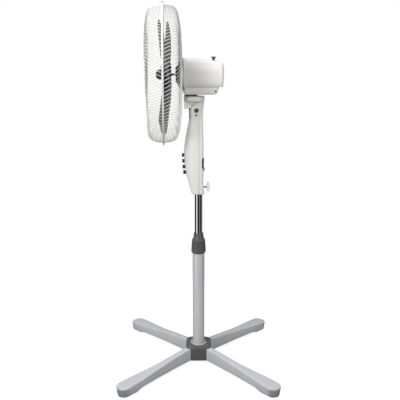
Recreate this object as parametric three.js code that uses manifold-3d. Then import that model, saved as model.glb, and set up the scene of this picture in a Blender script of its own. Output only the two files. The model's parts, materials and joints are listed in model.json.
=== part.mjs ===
// Pedestal fan: cross base, telescopic column, push-button control housing, tilting neck,
// oscillating motor head, wire guard and three-bladed fan.
// Millimetres, +Z up.  The origin is on the floor under the pole; the fan blows towards -Y.
import * as THREE from 'three';
import { mergeVertices } from 'three/addons/utils/BufferGeometryUtils.js';
import Module from 'manifold-3d';

const wasm = await Module();
wasm.setup();

// ---------------------------------------------------------------- driving dimensions
const UP = new THREE.Vector3(0, 0, 1);
const GAP = 0.3;                    // room left between touching pieces
const ROUND = 20;                   // sides on a visible round piece
const SMALL_ROUND = 10;             // sides on a screw, pin or bush

const BASE_TURN = -3;               // degrees the base stands round from the fan's axis
const LEG_ANGLES = [45, 135, 225, 315].map((degrees) => degrees + BASE_TURN);
const LEG_REACH = 349;              // pole axis to leg tip
const LEG_END = 25;                 // half-width of the leg's round end
const LEG_ROOT = 29;                // pole axis to the leg's inner end
const LEG_UNDERSIDE = 3;            // the leg's end stands this far above the floor, on its pad
const PAD_DISTANCE = 318;           // pole axis to the middle of a foot pad
const HUB_WIDTH = 85;
const HUB_BOTTOM = 9.5;
const HUB_TOP = 61.5;
const SEAT_RADIUS = 27.8;           // round seat in the hub's top for the pole's flange
const SEAT_BOTTOM = 48;

const POLE_RADIUS = 20;
const POLE_BOTTOM = 32;
const POLE_TOP = 405;
const TUBE_RADIUS = 12.7;
const TUBE_BOTTOM = 230;
const TUBE_TOP = 640;
const COLLAR_BOTTOM = 384;
const COLLAR_TOP = 453;

const PIVOT_Y = -8;                 // tilt pivot
const PIVOT_Z = 859;
const EAR_RADIUS = 22;
const EAR_OUTER = 24;               // half-width over the two ears
const EAR_INNER = 12;               // half-width of the space between them
const SHELL_WALL = 2;
const CONTROL_BOTTOM = 586;
const CONTROL_SHOULDER = 829;
const CLAMP_Z = 607;
const GLAND_Z = 666;

const SWIVEL_Y = -25;               // oscillation axis
const NECK_TOP = 903;
const HEAD_BOTTOM = 909;
const HEAD_SEAM = 933;
const HEAD_HALF_WIDTH = 52;
const AXIS_Z = 970;                 // motor and fan axis
const KNOB_Y = 47;

const GUARD_RADIUS = 213;           // middle of the rim wire
const RIM_Y = -112;
const WIRE = 2;                     // half the thickness of a guard wire
const WIRES = 12;                   // in each half of the guard
const WIRE_SWAY = -0.4;             // radians a wire turns about the fan's axis on its way to the rim
const BADGE_RADIUS = 64;
const MOUNT_RADIUS = 70;
const BLADE_RADIUS = 187;
const SHAFT_RADIUS = 4;

// ---------------------------------------------------------------- materials
function material(color, roughness, metalness = 0) {
  return new THREE.MeshStandardMaterial({ color, roughness, metalness, flatShading: true });
}

const housingWhite = material(0xd9d8d4, 0.45);
const legGrey = material(0xb4b5b8, 0.5);
const poleGrey = material(0xb9babd, 0.4, 0.3);
const darkGrey = material(0x50504d, 0.6);
const buttonBlack = material(0x1e1e1e, 0.5);
const chrome = material(0xcfd0d2, 0.12, 1);
const rubber = material(0x2b2b2b, 0.9);
const wireWhite = material(0xe6e5e0, 0.4);
const bladeGrey = material(0x5a5a5c, 0.3);
const knobWhite = material(0xe4e6e4, 0.35);
const steel = material(0x8d8f92, 0.35, 1);
const ironGrey = material(0x6d6a66, 0.6, 0.6);

// ---------------------------------------------------------------- solids
// A closed geometry as a solid: vertices merged, empty triangles dropped, faces pointing out.
function toSolid(geometry) {
  const bare = geometry.clone();
  bare.deleteAttribute('normal');
  bare.deleteAttribute('uv');
  const welded = mergeVertices(bare, 1e-4);
  const positions = welded.attributes.position;
  const triangles = [];
  let volume = 0;
  const corners = [new THREE.Vector3(), new THREE.Vector3(), new THREE.Vector3()];
  for (let at = 0; at < welded.index.count; at += 3) {
    const triangle = [0, 1, 2].map((step) => welded.index.getX(at + step));
    if (new Set(triangle).size < 3) continue;
    triangle.forEach((vertex, step) => corners[step].fromBufferAttribute(positions, vertex));
    volume += corners[0].dot(corners[1].cross(corners[2]));
    triangles.push(triangle);
  }
  if (volume < 0) triangles.forEach((triangle) => triangle.reverse());
  return new wasm.Manifold(new wasm.Mesh({
    numProp: 3,
    vertProperties: new Float32Array(positions.array),
    triVerts: new Uint32Array(triangles.flat()),
  }));
}

function toGeometry(solid) {
  const mesh = solid.getMesh();
  const geometry = new THREE.BufferGeometry();
  geometry.setAttribute('position', new THREE.BufferAttribute(mesh.vertProperties, 3));
  geometry.setIndex(new THREE.BufferAttribute(mesh.triVerts, 1));
  geometry.computeVertexNormals();
  return geometry;
}

function joined(solids) {
  return solids.reduce((whole, piece) => whole.add(piece));
}

function cutBy(solid, cutters) {
  return cutters.reduce((rest, cutter) => rest.subtract(cutter), solid);
}

// A block between two opposite corners.
function block(low, high) {
  const size = high.map((value, axis) => value - low[axis]);
  const middle = high.map((value, axis) => (value + low[axis]) / 2);
  return toSolid(new THREE.BoxGeometry(...size).translate(...middle));
}

// Revolved solids.  The profile is a list of [radius, height] that starts and ends on the axis,
// or a ring's section that closes on itself.
function turned(profile, sides) {
  const outline = profile.map(([radius, height]) => new THREE.Vector2(radius, height));
  if (profile[0][0] > 0) outline.push(outline[0].clone());
  return new THREE.LatheGeometry(outline, sides);
}

function turnedAboutZ(profile, x = 0, y = 0, sides = ROUND) {
  return toSolid(turned(profile, sides).rotateX(Math.PI / 2).translate(x, y, 0));
}

function turnedAboutY(profile, x = 0, z = 0, sides = ROUND) {
  return toSolid(turned(profile, sides).translate(x, 0, z));
}

function turnedAboutX(profile, y, z, sides = SMALL_ROUND) {
  return toSolid(turned(profile, sides).rotateZ(-Math.PI / 2).translate(0, y, z));
}

function rodProfile(radius, from, to) {
  return [[0, from], [radius, from], [radius, to], [0, to]];
}

function ringProfile(inner, outer, from, to) {
  return [[inner, from], [outer, from], [outer, to], [inner, to]];
}

// An outline in the Y-Z plane, given a width across X; bevel rounds the edges of its two sides.
function acrossX(outline, halfWidth, bevel = 0) {
  const shape = outline instanceof THREE.Shape
    ? outline
    : new THREE.Shape(outline.map(([y, z]) => new THREE.Vector2(y, z)));
  const geometry = new THREE.ExtrudeGeometry(shape, {
    depth: 2 * (halfWidth - bevel),
    bevelEnabled: bevel > 0,
    bevelThickness: bevel,
    bevelSize: bevel,
    bevelOffset: -bevel,
    bevelSegments: 2,
    curveSegments: 8,
  });
  geometry.translate(0, 0, bevel - halfWidth);
  geometry.applyMatrix4(new THREE.Matrix4().makeBasis(
    new THREE.Vector3(0, 1, 0),
    new THREE.Vector3(0, 0, 1),
    new THREE.Vector3(1, 0, 0),
  ));
  return toSolid(geometry);
}

// An outline in the X-Z plane, from one Y to another.
function alongY(outline, from, to, bevel = 0) {
  const shape = new THREE.Shape(outline.map(([x, z]) => new THREE.Vector2(x, z)));
  const geometry = new THREE.ExtrudeGeometry(shape, {
    depth: to - from - 2 * bevel,
    bevelEnabled: bevel > 0,
    bevelThickness: bevel,
    bevelSize: bevel,
    bevelOffset: -bevel,
    bevelSegments: 2,
  });
  geometry.translate(0, 0, bevel);
  geometry.rotateX(Math.PI / 2);
  geometry.translate(0, to, 0);
  return toSolid(geometry);
}

function rectangle(halfWidth, low, high) {
  return [[-halfWidth, low], [halfWidth, low], [halfWidth, high], [-halfWidth, high]];
}

// A solid through a row of rings, each a list of the same number of points.
function lofted(rings) {
  const count = rings[0].length;
  const points = rings.flat();
  const indices = [];
  for (let ring = 0; ring + 1 < rings.length; ring += 1) {
    for (let side = 0; side < count; side += 1) {
      const next = (side + 1) % count;
      const [a, b] = [ring * count + side, ring * count + next];
      indices.push(a, b, b + count, a, b + count, a + count);
    }
  }
  [0, rings.length - 1].forEach((ring) => {
    const middle = points.length;
    const centre = new THREE.Vector3();
    rings[ring].forEach((point) => centre.addScaledVector(point, 1 / count));
    points.push(centre);
    for (let side = 0; side < count; side += 1) {
      const pair = [ring * count + side, ring * count + (side + 1) % count];
      if (ring === 0) pair.reverse();
      indices.push(middle, ...pair);
    }
  });
  const geometry = new THREE.BufferGeometry().setFromPoints(points);
  geometry.setIndex(indices);
  return toSolid(geometry);
}

const fan = new THREE.Group();

function addGroup(parent, x, y, z) {
  const group = new THREE.Group();
  group.position.set(x, y, z);
  parent.add(group);
  return group;
}

function addPart(parent, name, solid, look) {
  const mesh = new THREE.Mesh(toGeometry(solid), look);
  mesh.name = name;
  parent.add(mesh);
  return mesh;
}

// ---------------------------------------------------------------- cross base
const LEG_STATIONS = [
  // distance from the pole axis, top, underside, half-width
  [LEG_ROOT, 56, 12, 10.5],
  [120, 49, 12, 12],
  [183, 42, 12, 14],
  [232, 38, 11, 18],
  [262, 35.5, 7, 21],
  [284, 33, LEG_UNDERSIDE, 23],
  [LEG_REACH - LEG_END, 30, LEG_UNDERSIDE, LEG_END],
];
const LEG_EDGE = 4;                 // rounding of the leg's two long top edges
const LEG_END_ROLL = 5;             // the tip's top edge is this much lower than the leg's

function legRing([along, top, under, half], spare = 0) {
  const edge = Math.min(LEG_EDGE, half * 0.5);
  const side = half + spare;
  const crown = top + spare;
  const outline = [[-side, under - spare], [side, under - spare]];
  [0, 45, 90].forEach((degrees) => {
    const turn = THREE.MathUtils.degToRad(degrees);
    outline.push([side - edge + edge * Math.cos(turn), crown - edge + edge * Math.sin(turn)]);
  });
  [90, 135, 180].forEach((degrees) => {
    const turn = THREE.MathUtils.degToRad(degrees);
    outline.push([-side + edge + edge * Math.cos(turn), crown - edge + edge * Math.sin(turn)]);
  });
  return outline.map(([across, height]) => new THREE.Vector3(along, across, height));
}

// The leg's last stretch is rounded in plan, and its top rolls down a little.
function legEndStations() {
  const [start, top, under, half] = LEG_STATIONS[LEG_STATIONS.length - 1];
  const degreesRound = [25, 45, 62, 76, 86];
  const last = THREE.MathUtils.degToRad(degreesRound[degreesRound.length - 1]);
  return degreesRound.map((degrees) => {
    const turn = THREE.MathUtils.degToRad(degrees);
    const reach = start + (LEG_REACH - start) * Math.sin(turn) / Math.sin(last);
    return [reach, top - LEG_END_ROLL * (1 - Math.cos(turn)), under, half * Math.cos(turn)];
  });
}

const legRings = [...LEG_STATIONS, ...legEndStations()].map((station) => legRing(station));
const padPeg = 3;
const leg = lofted(legRings).subtract(
  turnedAboutZ(rodProfile(padPeg + GAP, -1, 9 + GAP), PAD_DISTANCE, 0, SMALL_ROUND),
);
const footPad = turnedAboutZ([
  [0, 0], [15, 0], [16, 1], [16, LEG_UNDERSIDE - GAP], [padPeg, LEG_UNDERSIDE - GAP], [padPeg, 9], [0, 9],
], 0, 0, 12);

function roundedSquare(half, corner) {
  const shape = new THREE.Shape();
  const inner = half - corner;
  shape.absarc(inner, inner, corner, 0, Math.PI / 2);
  shape.absarc(-inner, inner, corner, Math.PI / 2, Math.PI);
  shape.absarc(-inner, -inner, corner, Math.PI, 1.5 * Math.PI);
  shape.absarc(inner, -inner, corner, 1.5 * Math.PI, 2 * Math.PI);
  return shape;
}

function hubSolid() {
  const bevel = 6;
  const blank = toSolid(new THREE.ExtrudeGeometry(roundedSquare(HUB_WIDTH / 2, 14), {
    depth: HUB_TOP - HUB_BOTTOM - 2 * bevel,
    bevelThickness: bevel,
    bevelSize: bevel,
    bevelOffset: -bevel,
    bevelSegments: 2,
    curveSegments: 3,
  }).translate(0, 0, HUB_BOTTOM + bevel).rotateZ(THREE.MathUtils.degToRad(BASE_TURN)));
  const slots = LEG_ANGLES.map((degrees) => {
    const rings = [LEG_STATIONS[0], LEG_STATIONS[1]].map((station) => legRing(station, GAP));
    rings.forEach((ring) => ring.slice(0, 2).forEach((point) => point.setZ(0)));
    rings[0].forEach((point) => point.setX(LEG_ROOT - GAP));
    const turn = THREE.MathUtils.degToRad(degrees);
    const spun = rings.map((ring) => ring.map((point) => point.applyAxisAngle(UP, turn)));
    return lofted(spun);
  });
  return cutBy(blank, [
    ...slots,
    turnedAboutZ(rodProfile(POLE_RADIUS + 0.4, POLE_BOTTOM - GAP, HUB_TOP + 1)),
    turnedAboutZ(rodProfile(SEAT_RADIUS, SEAT_BOTTOM, HUB_TOP + 1)),
    turnedAboutZ(rodProfile(4.5, 0, HUB_TOP), 0, 0, SMALL_ROUND),
  ]);
}

const base = addGroup(fan, 0, 0, 0);
addPart(base, 'base_hub', hubSolid(), darkGrey);
LEG_ANGLES.forEach((degrees, number) => {
  const arm = addGroup(base, 0, 0, 0);
  arm.rotation.z = THREE.MathUtils.degToRad(degrees);
  addPart(arm, `leg_${number + 1}`, leg, legGrey);
  addPart(arm, `foot_pad_${number + 1}`, footPad, rubber).position.x = PAD_DISTANCE;
});
addPart(base, 'pole_flange', turnedAboutZ([
  [POLE_RADIUS + 0.4, SEAT_BOTTOM + GAP], [SEAT_RADIUS - GAP, SEAT_BOTTOM + GAP],
  [SEAT_RADIUS - GAP, HUB_TOP - 1.5], [26.6, HUB_TOP - 0.5], [25, HUB_TOP - 0.5], [24, HUB_TOP - 4.5],
  [POLE_RADIUS + 0.4, HUB_TOP - 4.5],
]), poleGrey);
addPart(base, 'outer_tube', turnedAboutZ([
  [4.5, POLE_BOTTOM], [POLE_RADIUS, POLE_BOTTOM], [POLE_RADIUS, POLE_TOP],
  [POLE_RADIUS - 1.2, POLE_TOP], [POLE_RADIUS - 1.2, POLE_BOTTOM + 8], [4.5, POLE_BOTTOM + 8],
]), poleGrey);
addPart(base, 'base_bolt', turnedAboutZ([
  [0, 5.5], [8, 5.5], [9, 6.5], [9, HUB_BOTTOM - GAP], [4, HUB_BOTTOM - GAP], [4, 46], [0, 46],
], 0, 0, 12), steel);
addPart(base, 'pole_bush', turnedAboutZ([
  [TUBE_RADIUS + 0.4, POLE_TOP - 29], [POLE_RADIUS - 1.6, POLE_TOP - 29],
  [POLE_RADIUS - 1.6, POLE_TOP + GAP],
  [POLE_RADIUS - 0.1, POLE_TOP + GAP], [POLE_RADIUS - 0.1, POLE_TOP + 3], [TUBE_RADIUS + 0.4, POLE_TOP + 3],
]), darkGrey);

// ---------------------------------------------------------------- height collar
const COLLAR_STATIONS = [
  // height, radius, depth of the grip ribs
  [COLLAR_BOTTOM, 22.2, 0],
  [COLLAR_BOTTOM + 3, 23.6, 0],
  [392, 24.5, 0],
  [394, 24.4, 0.9],
  [427, 21.7, 0.9],
  [429, 21.4, 0],
  [431, 18, 0],
  [450, 15.6, 0],
  [COLLAR_TOP, 14.6, 0],
];

function collarSolid() {
  const points = 40;
  const rings = COLLAR_STATIONS.map(([height, radius, ribs]) => (
    Array.from({ length: points }, (_, step) => {
      const turn = 2 * Math.PI * step / points;
      const reach = radius - (step % 2 ? ribs : 0);
      return new THREE.Vector3(reach * Math.cos(turn), reach * Math.sin(turn), height);
    })
  ));
  return cutBy(lofted(rings), [
    turnedAboutZ(rodProfile(POLE_RADIUS + 0.4, 0, POLE_TOP + 3.5)),
    turnedAboutZ(rodProfile(TUBE_RADIUS + 0.5, 0, COLLAR_TOP + 1)),
  ]);
}

addPart(fan, 'height_collar', collarSolid(), darkGrey);

// ---------------------------------------------------------------- control housing
const CONTROL_STATIONS = [
  // height, front, rear, half-width
  [CONTROL_BOTTOM, 22, 18.5, 20.5],
  [600, 27, 16.5, 23],
  [622, 33, 15, 27],
  [652, 40, 15, 32],
  [690, 45, 15, 35.5],
  [730, 47, 15, 37],
  [784, 39, 14.5, 33],
  [CONTROL_SHOULDER, 30, 13.5, 26],
];
const FRONT_SQUARENESS = 2.6;       // 2 is an ellipse, larger is squarer
const REAR_SQUARENESS = 4.5;

// The housing's outside grown by a margin; a negative margin gives the inside of its wall.
function controlBody(margin, from, to) {
  const points = 20;
  const rings = CONTROL_STATIONS.map(([height, front, rear, half], index) => {
    const level = index === 0 ? from : index === CONTROL_STATIONS.length - 1 ? to : height;
    return Array.from({ length: points }, (_, step) => {
      const turn = 2 * Math.PI * (step + 0.5) / points;
      const forwards = Math.sin(turn) < 0;
      const power = 2 / (forwards ? FRONT_SQUARENESS : REAR_SQUARENESS);
      const depth = (forwards ? front : rear) + margin;
      const x = (half + margin) * Math.sign(Math.cos(turn)) * Math.abs(Math.cos(turn)) ** power;
      const y = depth * Math.sign(Math.sin(turn)) * Math.abs(Math.sin(turn)) ** power;
      return new THREE.Vector3(x, y, level);
    });
  });
  return lofted(rings);
}

function earOutline() {
  const shape = new THREE.Shape();
  shape.moveTo(PIVOT_Y - EAR_RADIUS, CONTROL_SHOULDER - 14);
  shape.lineTo(PIVOT_Y + EAR_RADIUS - 0.5, CONTROL_SHOULDER - 14);
  shape.absarc(PIVOT_Y, PIVOT_Z, EAR_RADIUS, 0, Math.PI);
  shape.closePath();
  return shape;
}

const BUTTONS = [
  // name, height of its middle, front face
  ['button_off', 713.5, -54],
  ['button_low', 694.5, -53],
  ['button_medium', 675.5, -52],
  ['button_high', 657.5, -50],
];
const BUTTON_HALF_WIDTH = 8;
const BUTTON_HALF_HEIGHT = 5.25;
const COVER_SCREWS = [[-22, 645], [22, 645], [0, 798]];
const GAITER = { half: 9, front: -30.5, back: -26.8, low: 831, high: 866 };

function controlShells() {
  const outside = controlBody(0, CONTROL_BOTTOM, CONTROL_SHOULDER);
  const inside = controlBody(-SHELL_WALL, CONTROL_BOTTOM + 4, CONTROL_SHOULDER - 7);
  const ears = acrossX(earOutline(), EAR_OUTER, 2);
  const shell = outside.add(ears).subtract(inside);
  const frontBosses = COVER_SCREWS.map(([x, z]) => (
    turnedAboutY(rodProfile(4, -60, -0.4), x, z, SMALL_ROUND)
  ));
  const rearBosses = COVER_SCREWS.map(([x, z]) => (
    turnedAboutY(rodProfile(5, 0.4, 30), x, z, SMALL_ROUND)
  ));
  const bosses = joined([...frontBosses, ...rearBosses]).intersect(outside);
  const split = CONTROL_SHOULDER - 3;
  const seam = GAP / 2;
  const rearSide = block([-60, seam, 500], [60, 40, split - seam]);
  const frontSide = block([-60, -80, 500], [60, -seam, 900])
    .add(block([-60, -80, split + seam], [60, 60, 900]));
  const bore = turnedAboutZ(rodProfile(TUBE_RADIUS + GAP, 500, TUBE_TOP + 5));
  const between = EAR_INNER + 0.2;
  const pivotBore = turnedAboutX(rodProfile(3.8, -60, 60), PIVOT_Y, PIVOT_Z);
  const earSlot = block([-between, -60, 838], [between, 60, 900]);
  const gaiterSlot = block(
    [-GAITER.half - GAP, -60, GAITER.low - GAP],
    [GAITER.half + GAP, GAITER.back + GAP, 900],
  );
  const slotHalfHeight = BUTTON_HALF_HEIGHT + GAP;
  const buttonSlots = BUTTONS.map(([, z]) => alongY(
    rectangle(BUTTON_HALF_WIDTH + GAP, z - slotHalfHeight, z + slotHalfHeight), -60, -30,
  ));
  const screwHoles = COVER_SCREWS.flatMap(([x, z]) => [
    turnedAboutY(rodProfile(1.9, -13, 30), x, z, SMALL_ROUND),
    turnedAboutY(rodProfile(3.6, 5, 30), x, z, SMALL_ROUND),
  ]);
  const rearHoles = [
    turnedAboutY(rodProfile(5.6, 8, 30), 0, GLAND_Z, SMALL_ROUND),
    turnedAboutY(rodProfile(2.9, 8, 30), 0, CLAMP_Z, SMALL_ROUND),
  ];
  const whole = shell.add(bosses);
  return {
    front: cutBy(whole.intersect(frontSide), [
      bore, pivotBore, earSlot, gaiterSlot, ...buttonSlots, ...screwHoles,
    ]),
    rear: cutBy(whole.intersect(rearSide), [bore, ...screwHoles, ...rearHoles]),
  };
}

const column = addGroup(fan, 0, 0, 0);
const shells = controlShells();
addPart(column, 'control_cover_front', shells.front, housingWhite);
addPart(column, 'control_cover_rear', shells.rear, housingWhite);
addPart(column, 'inner_tube', turnedAboutZ(
  ringProfile(TUBE_RADIUS - 1.3, TUBE_RADIUS, TUBE_BOTTOM, TUBE_TOP),
), chrome);
addPart(column, 'tube_clamp', turnedAboutZ(
  ringProfile(TUBE_RADIUS + GAP, 17, CONTROL_BOTTOM + 5, 634),
).intersect(block([-30, -30, 500], [30, 7, 700])), darkGrey);
addPart(column, 'switch_block', block([-9, -28, 648], [9, -16, 723]), darkGrey);
addPart(column, 'capacitor', block([-14, -24, 742], [14, -4, 776]), ironGrey);

function gaiterSolid() {
  const { half, front, back, low, high } = GAITER;
  const ribs = 8;
  const pitch = (high - low) / ribs;
  const outline = [[back, high], [back, low]];
  for (let rib = 0; rib < ribs; rib += 1) {
    outline.push([front + 1.2, low + pitch * rib]);
    outline.push([front, low + pitch * (rib + 0.5)]);
  }
  return acrossX(outline, half);
}

addPart(column, 'cable_gaiter', gaiterSolid(), darkGrey);
addPart(column, 'tilt_screw', turnedAboutX([
  [0, -EAR_OUTER - 5], [3.5, -EAR_OUTER - 5], [3.5, EAR_OUTER + GAP], [7, EAR_OUTER + GAP],
  [7, EAR_OUTER + 2.5], [5.5, EAR_OUTER + 4], [0, EAR_OUTER + 4],
], PIVOT_Y, PIVOT_Z), darkGrey);
addPart(column, 'tilt_nut', turnedAboutX(
  ringProfile(4.6, 8, -EAR_OUTER - 5.5, -EAR_OUTER - GAP), PIVOT_Y, PIVOT_Z, 6,
), steel);
addPart(column, 'rear_plate', controlBody(1.6, CONTROL_BOTTOM, CONTROL_SHOULDER)
  .subtract(controlBody(GAP, CONTROL_BOTTOM - 1, CONTROL_SHOULDER + 1))
  .intersect(block([-60, 9, 675], [60, 40, 707])), buttonBlack);
addPart(column, 'cord_gland', turnedAboutY([
  [3.2, 10.4], [7.5, 10.4], [7.5, 12.6], [5.2, 12.6], [5.2, 18.5], [4.6, 19.5], [3.2, 19.5],
], 0, GLAND_Z, 12), darkGrey);
COVER_SCREWS.forEach(([x, z], number) => {
  const screw = turnedAboutY([
    [0, -12], [1.6, -12], [1.6, 5.3], [3.2, 5.3], [3.2, 6.6], [0, 7.6],
  ], 0, 0, SMALL_ROUND);
  addPart(column, `cover_screw_${number + 1}`, screw, steel).position.set(x, 0, z);
});

// Each button passes through the cover and is pressed towards +Y.
BUTTONS.forEach(([name, z, face]) => {
  const outline = rectangle(BUTTON_HALF_WIDTH, -BUTTON_HALF_HEIGHT, BUTTON_HALF_HEIGHT);
  addPart(column, name, alongY(outline, face, -33, 1.2), buttonBlack).position.z = z;
});

// Clamp knob on the rear, a crescent wing on a screw that bears on the inner tube.
const KNOB_OUTLINE = [
  [26.2, -4], [28.5, -17], [33, -16], [36.5, -9], [38, 0], [36.5, 9], [33, 16], [28.5, 17], [26.2, 4],
];

addPart(column, 'clamp_knob', acrossX(KNOB_OUTLINE, 7.5, 1), knobWhite).position.z = CLAMP_Z;
addPart(column, 'clamp_screw', turnedAboutY(
  rodProfile(2.5, TUBE_RADIUS + 0.4, 25.9), 0, 0, SMALL_ROUND,
), steel).position.z = CLAMP_Z;

// ---------------------------------------------------------------- neck
function neckSolid() {
  const cap = turnedAboutZ([
    [0, 886.5], [31, 886.5], [33, 889], [33, 900], [31.5, NECK_TOP - 0.1], [0, NECK_TOP - 0.1],
  ], 0, -14, 32);
  const tongueHalf = EAR_INNER - 0.2;
  const tongueRadius = 18;
  const tongue = new THREE.Shape();
  tongue.moveTo(PIVOT_Y - tongueRadius, 890);
  tongue.absarc(PIVOT_Y, PIVOT_Z, tongueRadius, Math.PI, 2 * Math.PI);
  tongue.lineTo(PIVOT_Y + tongueRadius + 4.5, PIVOT_Z - 1);
  tongue.lineTo(18, 890);
  tongue.closePath();
  const brow = block([-20, -45, 864], [20, -28, 889])
    .subtract(turnedAboutX(rodProfile(EAR_RADIUS + 1.8, -30, 30), PIVOT_Y, PIVOT_Z, 32));
  const capUnderside = turnedAboutX(rodProfile(EAR_RADIUS + 1.8, -30, 30), PIVOT_Y, PIVOT_Z, 32);
  const bridge = acrossX([[-45, 884], [18, 884], [18, 890], [-45, 890]], 20).subtract(capUnderside);
  return cutBy(joined([cap, acrossX(tongue, tongueHalf), brow, bridge]), [
    turnedAboutX(rodProfile(3.9, -30, 30), PIVOT_Y, PIVOT_Z),
    turnedAboutZ(rodProfile(5.3, 890, 910), 0, SWIVEL_Y, SMALL_ROUND),
  ]);
}

const neck = addGroup(fan, 0, 0, 0);
addPart(neck, 'neck_bracket', neckSolid(), housingWhite);
addPart(neck, 'swivel_pin', turnedAboutZ([
  [0, 890.3], [5, 890.3], [5, 914], [8, 914], [8, 917], [0, 917],
], 0, SWIVEL_Y, SMALL_ROUND), steel);
addPart(neck, 'swivel_washer', turnedAboutZ(
  ringProfile(5.4, 20, NECK_TOP + 0.2, HEAD_BOTTOM - GAP), 0, SWIVEL_Y,
), darkGrey);

// ---------------------------------------------------------------- motor head
const HOUSING_SIDE = [
  [-49, HEAD_SEAM], [74, HEAD_SEAM], [76, 965], [78, 997], [76.5, 1003], [69, 1010], [37, 1016],
  [-37, 1020], [-49, 1024],
];
const HOUSING_FRONT = [
  // half-width, height
  [44, HEAD_SEAM], [49, 941], [HEAD_HALF_WIDTH, 955], [HEAD_HALF_WIDTH, 985], [49.5, 998],
  [43, 1009], [33, 1018], [18, 1024], [6, 1026],
];

function mirrored(outline) {
  const left = outline.map(([x, z]) => [-x, z]).reverse();
  return [...outline, ...left];
}

function towards(outline, centre, wall) {
  return outline.map(([a, b]) => [
    a - Math.sign(a - centre[0]) * wall,
    b - Math.sign(b - centre[1]) * wall,
  ]);
}

function motorHousing() {
  const middle = [14, 975];
  const wall = 2.2;
  const outside = acrossX(HOUSING_SIDE, HEAD_HALF_WIDTH + 1)
    .intersect(alongY(mirrored(HOUSING_FRONT), -60, 90));
  const inside = acrossX(towards(HOUSING_SIDE, middle, wall), HEAD_HALF_WIDTH)
    .intersect(alongY(towards(mirrored(HOUSING_FRONT), [0, middle[1]], wall), -60, 90));
  const mouth = alongY(towards(mirrored(HOUSING_FRONT), [0, middle[1]], 3), -60, -40)
    .intersect(block([-60, -60, HEAD_SEAM + 3], [60, -40, 1020]));
  return cutBy(outside, [
    inside,
    mouth,
    turnedAboutZ(rodProfile(6.2, 1000, 1040), 0, KNOB_Y, 24),
    turnedAboutZ(rodProfile(6.5, 920, 940), 0, KNOB_Y, 24),
  ]);
}

function gearboxTray() {
  const outline = [
    [-48, HEAD_SEAM - GAP], [-48, HEAD_BOTTOM + 3], [-45, HEAD_BOTTOM],
    [53, HEAD_BOTTOM], [60, 916], [62, HEAD_SEAM - GAP],
  ];
  const inner = [
    [-45.8, 940], [-45.8, 912.5], [-44, 911.4], [52, 911.4], [58, 917], [59.6, 940],
  ];
  const holes = [-1, 1].map((side) => turnedAboutX(
    rodProfile(1.8, Math.min(side * 30, side * 60), Math.max(side * 30, side * 60)), 51, 920,
  ));
  return cutBy(acrossX(outline, 42, 3), [
    acrossX(inner, 39.6),
    turnedAboutZ(rodProfile(5.5, 900, 920), 0, SWIVEL_Y, SMALL_ROUND),
    ...holes,
  ]);
}

const head = addGroup(fan, 0, 0, 0);
addPart(head, 'motor_housing', motorHousing(), housingWhite);
addPart(head, 'gearbox_tray', gearboxTray(), housingWhite);
[['left', -1], ['right', 1]].forEach(([name, side]) => {
  const outline = [[0, 33], [1.5, 33], [1.5, 42 + GAP], [2.6, 42 + GAP], [2.6, 43.2], [0, 43.8]];
  const screw = turnedAboutX(outline.map(([radius, along]) => [radius, side * along]), 51, 920, 16);
  addPart(head, `housing_screw_${name}`, screw, darkGrey);
});

// Everything on the motor's own axis sits in a group at the height of that axis.
const motor = addGroup(head, 0, 0, AXIS_Z);
addPart(motor, 'front_plate', turnedAboutY([
  [SHAFT_RADIUS + 0.1, -71], [18.5, -71], [19.7, -69.5], [19.7, -53.6], [50, -53.6], [50, -49.4],
  [14, -49.4], [14, -36], [SHAFT_RADIUS + 0.1, -36],
]), housingWhite);
addPart(motor, 'stator', turnedAboutY([
  [20.6, -22], [23, -22], [23, -29], [31, -29], [31, -22], [34, -22], [34, 10], [31, 10],
  [31, 16], [23, 16], [23, 10], [20.6, 10],
]), ironGrey);
addPart(motor, 'rear_bracket', turnedAboutY([
  [SHAFT_RADIUS + 0.1, 17], [10, 17], [10, 21], [34, 21], [34, 24], [SHAFT_RADIUS + 0.1, 24],
]), steel);
addPart(motor, 'gear_case', block([-16, 30.5, -25], [16, 62, 22])
  .subtract(turnedAboutY(rodProfile(4.6, 20, 42), 0, 0, SMALL_ROUND)), darkGrey);
addPart(head, 'crank_disc', turnedAboutZ([
  [0, 921], [11, 921], [11, 925], [4, 925], [4, 944.6], [0, 944.6],
], 0, KNOB_Y, 24), steel);

function linkArm() {
  const arm = block([-5, 2, 914], [5, 53.5, 918]);
  const eye = turnedAboutZ(rodProfile(6.5, 914, 918), 0, 2, SMALL_ROUND);
  const pin = turnedAboutZ(rodProfile(2.4, 916, 920.6), 0, 53, SMALL_ROUND);
  return cutBy(joined([arm, eye, pin]), [turnedAboutZ(rodProfile(2.6, 900, 930), 0, 2, SMALL_ROUND)]);
}

addPart(head, 'link_arm', linkArm(), steel);

// ---------------------------------------------------------------- guard
// A wire's line is a list of [radius, y]; it swings sideways as it runs out to the rim.
const FRONT_LINE = [
  [62, -165.5], [120, -165.5], [173, -162.5], [191, -158], [202, -150], [209, -138], [GUARD_RADIUS, -115],
];
const REAR_LINE = [
  [68, -54.5], [118, -55], [150, -59.5], [175, -64], [193, -69], [206, -80], [GUARD_RADIUS, -109],
];

function torus(radius, y, half = WIRE, sides = 24) {
  const section = [[radius - half, y], [radius, y - half], [radius + half, y], [radius, y + half]];
  return turnedAboutY(section, 0, 0, sides);
}

function wireSolid(line, turn) {
  const points = line.map(([radius, y]) => {
    const share = (radius - line[0][0]) / (GUARD_RADIUS - line[0][0]);
    const angle = turn + WIRE_SWAY * share;
    return new THREE.Vector3(radius * Math.cos(angle), y, radius * Math.sin(angle));
  });
  const section = new THREE.Shape([
    new THREE.Vector2(-WIRE * 0.6, -WIRE * 0.6),
    new THREE.Vector2(WIRE * 0.6, -WIRE * 0.6),
    new THREE.Vector2(0, WIRE * 0.6),
  ]);
  return toSolid(new THREE.ExtrudeGeometry(section, {
    steps: 7,
    bevelEnabled: false,
    extrudePath: new THREE.CatmullRomCurve3(points),
  }));
}

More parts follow.
